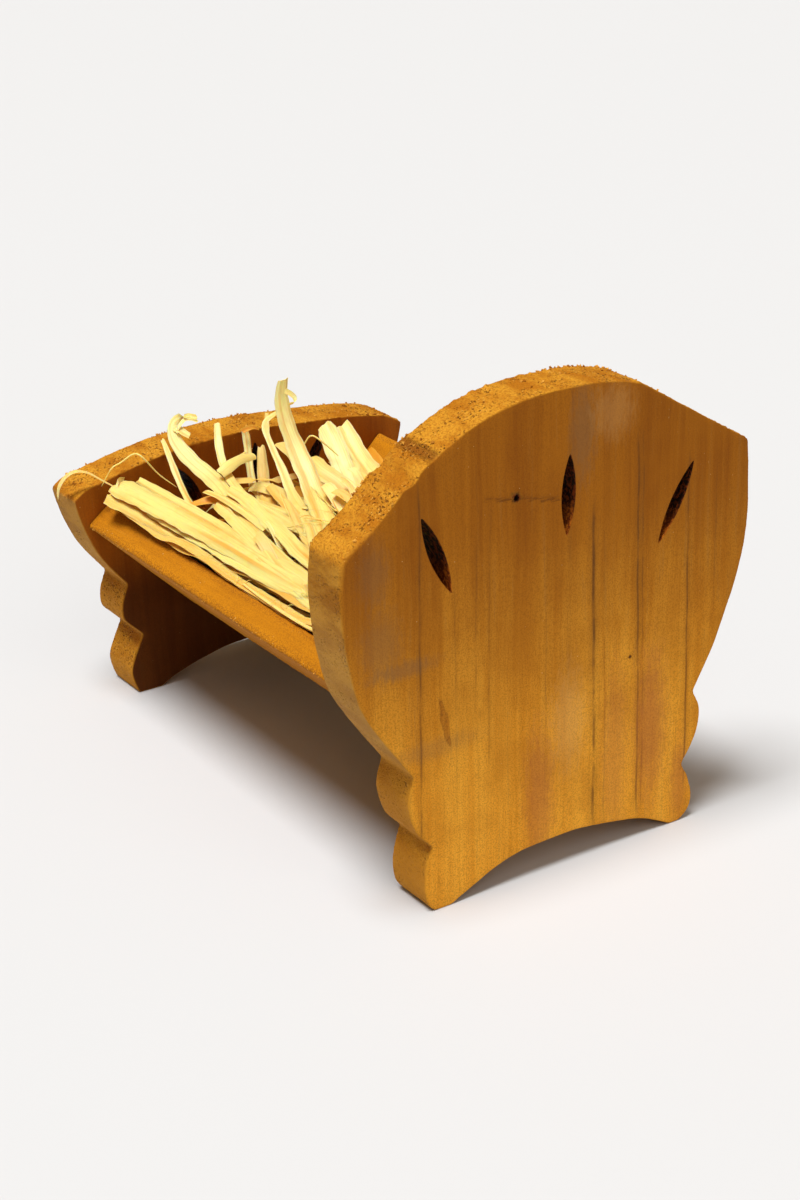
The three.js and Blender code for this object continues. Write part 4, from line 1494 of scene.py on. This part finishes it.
# More ribbons placed one by one, all in the loose layer: points, widths at both ends, tone.
LOOSE_RIBBONS = [
    ([(-63, 81, 86.5), (-60.5, 67, 85.3), (-58, 50, 84.2), (-56.5, 34, 83.2), (-56.5, 18, 82.4)], 7,
     2.5, 0.5),
    ([(-57, 60, 87), (-54.5, 30, 86), (-53.5, 0, 85), (-51, -19, 84), (-48, -40, 82)], 6, 6, 0.8),
    ([(-30, 49, 91.5), (-29, 38, 90), (-31, 22, 88.5), (-32, 5, 87), (-34, -12, 85),
      (-34, -45, 81)], 5, 7, 1.0),
    ([(-29, 47, 90.5), (-26, 28, 88.5), (-21, 10, 86.5), (-15, -14, 84)], 4, 5.5, 0.9),
    ([(-38, 52, 92), (-35.5, 44, 91), (-34, 33, 89.5), (-33, 18, 87)], 3, 4, 0.7),
    ([(-43, 54, 86), (-39.5, 52, 88.5), (-36, 50, 89), (-33.5, 47, 88), (-32, 42, 86)], 4.4, 3.2, 0.12),
    ([(-11, 53, 88.5), (-14, 39, 86.5), (-15, 28, 85.5), (-15, 10, 84)], 3.4, 3.8, 0.42),
    ([(1, 65, 98), (2, 56, 95.5), (-2, 41, 92), (-4, 24, 87)], 5, 6, 0.5),
    ([(3, 48, 96), (3, 40, 94), (6, 32, 90.5), (9, 22, 86.5), (11, 8, 83.5)], 8, 9, 0.55),
    ([(-59, 34, 83.2), (-57, 18, 82.8), (-55, 4, 82.6), (-53, -12, 82.5), (-52, -32, 82.4)], 2.8,
     3.6, 0.3),
    ([(-62, 72, 84), (-60, 40, 82.5), (-58, 10, 81.5), (-57, -20, 81), (-56, -50, 80.5)], 3.0, 5.0,
     0.42),
    ([(-60, 55, 83), (-59.5, 20, 82), (-58, -15, 81.5), (-57.5, -42, 81)], 2.0, 3.4, 0.35),
    ([(-58, -8, 82.3), (-59, -27, 82.1), (-59, -39, 82.0), (-58, -54, 81.8)], 1.0, 2.0, 0.95),
    ([(-37, 46, 88.5), (-41, 22, 87.8), (-44, 2, 86.5), (-48, -18, 84.5), (-49, -44, 81.5)], 4.5,
     5.5, 0.85),
    ([(5, 80, 105), (2, 75, 102), (-1, 69, 98), (-3, 60, 92)], 1.4, 2.0, 0.5),
    ([(-22, 66, 92), (-14, 72, 93), (-4, 79, 92)], 2.2, 2.8, 0.6),
    ([(22, 60, 88), (20, 40, 86.5), (16, 20, 85), (12, -8, 83)], 6, 7, 0.6),
    ([(-24, 60, 86), (-21, 40, 86), (-14, 18, 85), (-8, -6, 83.5)], 3, 5, 0.75),
    ([(-45, 62, 86), (-45, 40, 86), (-43, 14, 85.2), (-42, -16, 83.6), (-40, -50, 81)], 4, 6, 0.9),
    ([(-12, 30, 86), (-20, 10, 86), (-27, -10, 85), (-32, -34, 82.5)], 4, 4.6, 0.7),
    ([(0, 24, 84.5), (-6, 6, 85), (-14, -14, 84.6), (-20, -38, 82)], 5, 5.6, 0.85),
]

# Thin strands placed one by one.
STRANDS = [
    ([(-64, 83, 90), (-61, 80, 97), (-57, 80, 98.5), (-52, 79, 101), (-50, 76, 100), (-45, 74, 93),
      (-40, 70, 88)], 0.35),
    ([(4, 56, 95), (6, 55, 99), (8.5, 54, 102), (11, 50, 100), (15, 46, 95)], 0.35),
    ([(-20, 30, 94), (-26, 18, 96), (-30, 4, 92), (-33, -12, 90)], 0.22),
]
OVERHANG = [(-58, 84, 88), (-62, 87, 91), (-66, 89, 94), (-70, 91, 95), (-73.5, 93, 93), (-75.5, 95, 89),
            (-76, 96, 85)]


BOTTOM_COUNT = 90
MIDDLE_COUNT = 120
MIDDLE_CROSS_COUNT = 8
TOP_COUNT = 34
TOP_CROSS_COUNT = 3
STRAND_COUNT = 60
BIT_COUNT = 70
GLOW_RADIUS = (1.0, 0.50, 0.12)
GLOW_DEPTH = 1.2


def hay_material(name, dark, light, line_tone_and_fold_shade, painted_upright_light, glow):
    """Raffia: fine lines along each ribbon, painted amber shade in its folds, painted light on its
    upright stretches, its own tone, and light let through.
    """
    paint = Paint(name)
    across = paint.value("across")
    along = paint.value("along")
    tone = paint.value("tone")
    wide = paint.join(across, paint.times(along, 0.02), paint.times(tone, 71.0))
    lines = paint.noise(wide, 1.6, 3.0, 0.65)
    hair = paint.noise(wide, 6.0, 2.0, 0.6)
    patch = paint.join(paint.times(across, 0.15), paint.times(along, 0.06), paint.times(tone, 37.0))
    stain = paint.noise(patch, 1.0, 3.0, 0.6)
    # Paler on upright stretches: painted light.
    light = paint.mix(paint.value("upright"), light, painted_upright_light)
    colour = paint.mix(paint.ramp(tone, 0.0, 0.75), dark, light)
    colour = paint.stain(colour, lines, 0.48, 0.72, 0.46, line_tone_and_fold_shade)
    colour = paint.stain(colour, hair, 0.54, 0.74, 0.26, line_tone_and_fold_shade)
    colour = paint.stain(colour, stain, 0.50, 0.75, 0.35, dark)
    # Painted amber shade in the folds.
    colour = paint.mix(paint.times(paint.value("fold"), 0.72), colour, line_tone_and_fold_shade)
    paint.shader.inputs["Subsurface Weight"].default_value = glow
    paint.shader.inputs["Subsurface Radius"].default_value = GLOW_RADIUS
    paint.shader.inputs["Subsurface Scale"].default_value = GLOW_DEPTH * MM
    height = paint.add(lines, paint.times(hair, 0.5))
    return paint.finish(colour, paint.add(0.45, paint.times(lines, 0.2)), height, 0.08, 0.35)


def make_hay():
    ribbon_look = hay_material("raffia", srgb(220, 146, 36), srgb(234, 206, 118), srgb(222, 138, 24),
                               srgb(255, 238, 162), 0.50)
    # The packed hay's dark tone is painted shade on its covered top.
    core_look = hay_material("raffia_packed", srgb(128, 74, 12), srgb(236, 196, 104), srgb(120, 66, 10),
                             srgb(236, 196, 104), 0.0)
    rng = np.random.default_rng(404)
    pile = Pile()
    names = ("across", "along", "tone", "fold", "crease", "upright")

    def finish_piece(build, name, look, *nodes):
        piece = build.to_object(name, look)
        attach(piece, HAY_BODY)
        if nodes:
            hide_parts(*nodes)

    under = Build(*names)
    # Each layer's tones run darker the deeper it lies: painted shade, with tone varying at random within
    # each range.
    scatter(under, pile, rng, BOTTOM_COUNT, bottom_recipe, (0.0, 0.5))
    finish_piece(under, "hay_under_layer", ribbon_look)

    core = Build(*names)
    packed_core(core)
    finish_piece(core, "hay_packed_core", core_look, "hay_bed")
    grid_x, grid_y = np.meshgrid(pile.xs, pile.ys, indexing="ij")
    top = np.where(np.abs(grid_x) < ARRIS_X - 12, core_top(grid_x, grid_y), 0)
    pile.height = np.maximum(pile.height, top)

    middle = Build(*names)
    scatter(middle, pile, rng, MIDDLE_COUNT, middle_recipe, (0.1, 0.9))
    scatter(middle, pile, rng, MIDDLE_CROSS_COUNT, cross_recipe, (0.1, 0.9))
    finish_piece(middle, "hay_middle_layer", ribbon_look)

    def place_one_by_one(rows):
        for name, node, points, widths, across, cup, tone in rows:
            points = with_foot(points[::-1], rng.uniform(25, 50), rng.normal(0, 0.10))[::-1]
            widths = [widths[0]] * (len(points) - len(widths)) + list(widths)
            marks = np.linspace(0, 1, len(widths))
            centre, width = drape(pile, points, 1.5, lambda share: np.interp(share, marks, widths))
            build = Build(*names)
            ribbon(build, centre, np.tile(across, (len(centre), 1)).astype(float), width, rng,
                   columns=10, cup=cup, pleat=0.15, tone=tone)
            finish_piece(build, "hay_ribbon_" + name, ribbon_look, node)

    place_one_by_one(BACK_RIBBONS)

    loose = Build(*names)
    scatter(loose, pile, rng, TOP_COUNT, top_recipe, (0.4, 1.0))
    scatter(loose, pile, rng, TOP_CROSS_COUNT, cross_recipe, (0.4, 1.0))
    for points, width_a, width_b, tone in LOOSE_RIBBONS:
        if points[-1][2] < 86 and points[-1][1] < 30:
            points = with_foot(points, rng.uniform(20, 45), rng.normal(0, 0.12))
        centre, widths = drape(pile, points, 2.0, lambda share: np.interp(share, [0, 1],
                                                                          [width_a, width_b]))
        across = np.tile([0.9, -0.2, rng.uniform(0.1, 0.4)], (len(centre), 1))
        ribbon(loose, centre, across, widths, rng, columns=8, cup=rng.uniform(-0.25, 0.25),
               pleat=0.09, tone=tone)
    for points, width_a, width_b, across, tone in TIP_FLAPS:
        centre, reach = curve_through(points, 0.5)
        widths = np.interp(reach / reach[-1], [0, 1], [width_a, width_b])
        ribbon(loose, centre, np.tile(across, (len(centre), 1)), widths, rng, columns=6, cup=0.25,
               pleat=0.05,
               tone=tone, tear=0.4)
    finish_piece(loose, "hay_loose_layer", ribbon_look)

    place_one_by_one(FRONT_RIBBONS)

    strands = Build(*names)
    for points, radius in STRANDS:
        centre, _ = curve_through(points, 1.0)
        fibre(strands, centre, radius, 0.85)
    for _ in range(STRAND_COUNT):
        start = (rng.uniform(-50, 40), rng.uniform(-84, 10))
        route = keep_inside(wander(rng, start, rng.normal(0.1, 0.45), rng.uniform(12, 45), 0.4, 1.2),
                            ARRIS_X - 8, HAY_END - 4)
        if len(route) < 8:
            continue
        along = unit(np.gradient(route, axis=0))
        aside = to_the_right(along)
        thin = np.full(len(route), 0.8)
        height, _ = pile.settle(route, aside, thin, 0.03)
        share = np.linspace(0, 1, len(route))
        height = height + 0.4 + rng.uniform(0, 6) * smoothstep(0.5, 1, share) * (rng.random() < 0.4)
        fibre(strands, np.column_stack([route, height]), rng.uniform(0.10, 0.24), rng.uniform(0.3, 1))
    for _ in range(BIT_COUNT):
        middle_spot = np.array([rng.uniform(-56, -12), rng.uniform(-48, 24)])
        turn = rng.uniform(0, 2 * math.pi) + np.linspace(0, rng.uniform(0.6, 2.4), 9)
        route = middle_spot + np.cumsum(np.stack([np.cos(turn), np.sin(turn)], 1),
                                        0) * rng.uniform(0.35, 0.95)
        rest = pile.height[pile.cells(route)].max()
        arch = np.sin(np.linspace(0, math.pi, 9)) * rng.uniform(0.3, 2.2)
        fibre(strands, np.column_stack([route, rest + 0.3 + arch]), rng.uniform(0.08, 0.17),
              rng.uniform(0.3, 1))
    finish_piece(strands, "hay_strands", ribbon_look)

    overhang = Build(*names)
    centre, reach = curve_through(OVERHANG, 1.2)
    ribbon(overhang, centre, np.tile([0.2, 1.0, 0.1], (len(centre), 1)),
           np.interp(reach / reach[-1], [0, 0.5, 1], [1.6, 2.4,
                                                      3.0]), rng, columns=5, cup=0.2, tone=0.45)
    finish_piece(overhang, "hay_ribbon_overhang", ribbon_look)


make_wood()
make_hay()
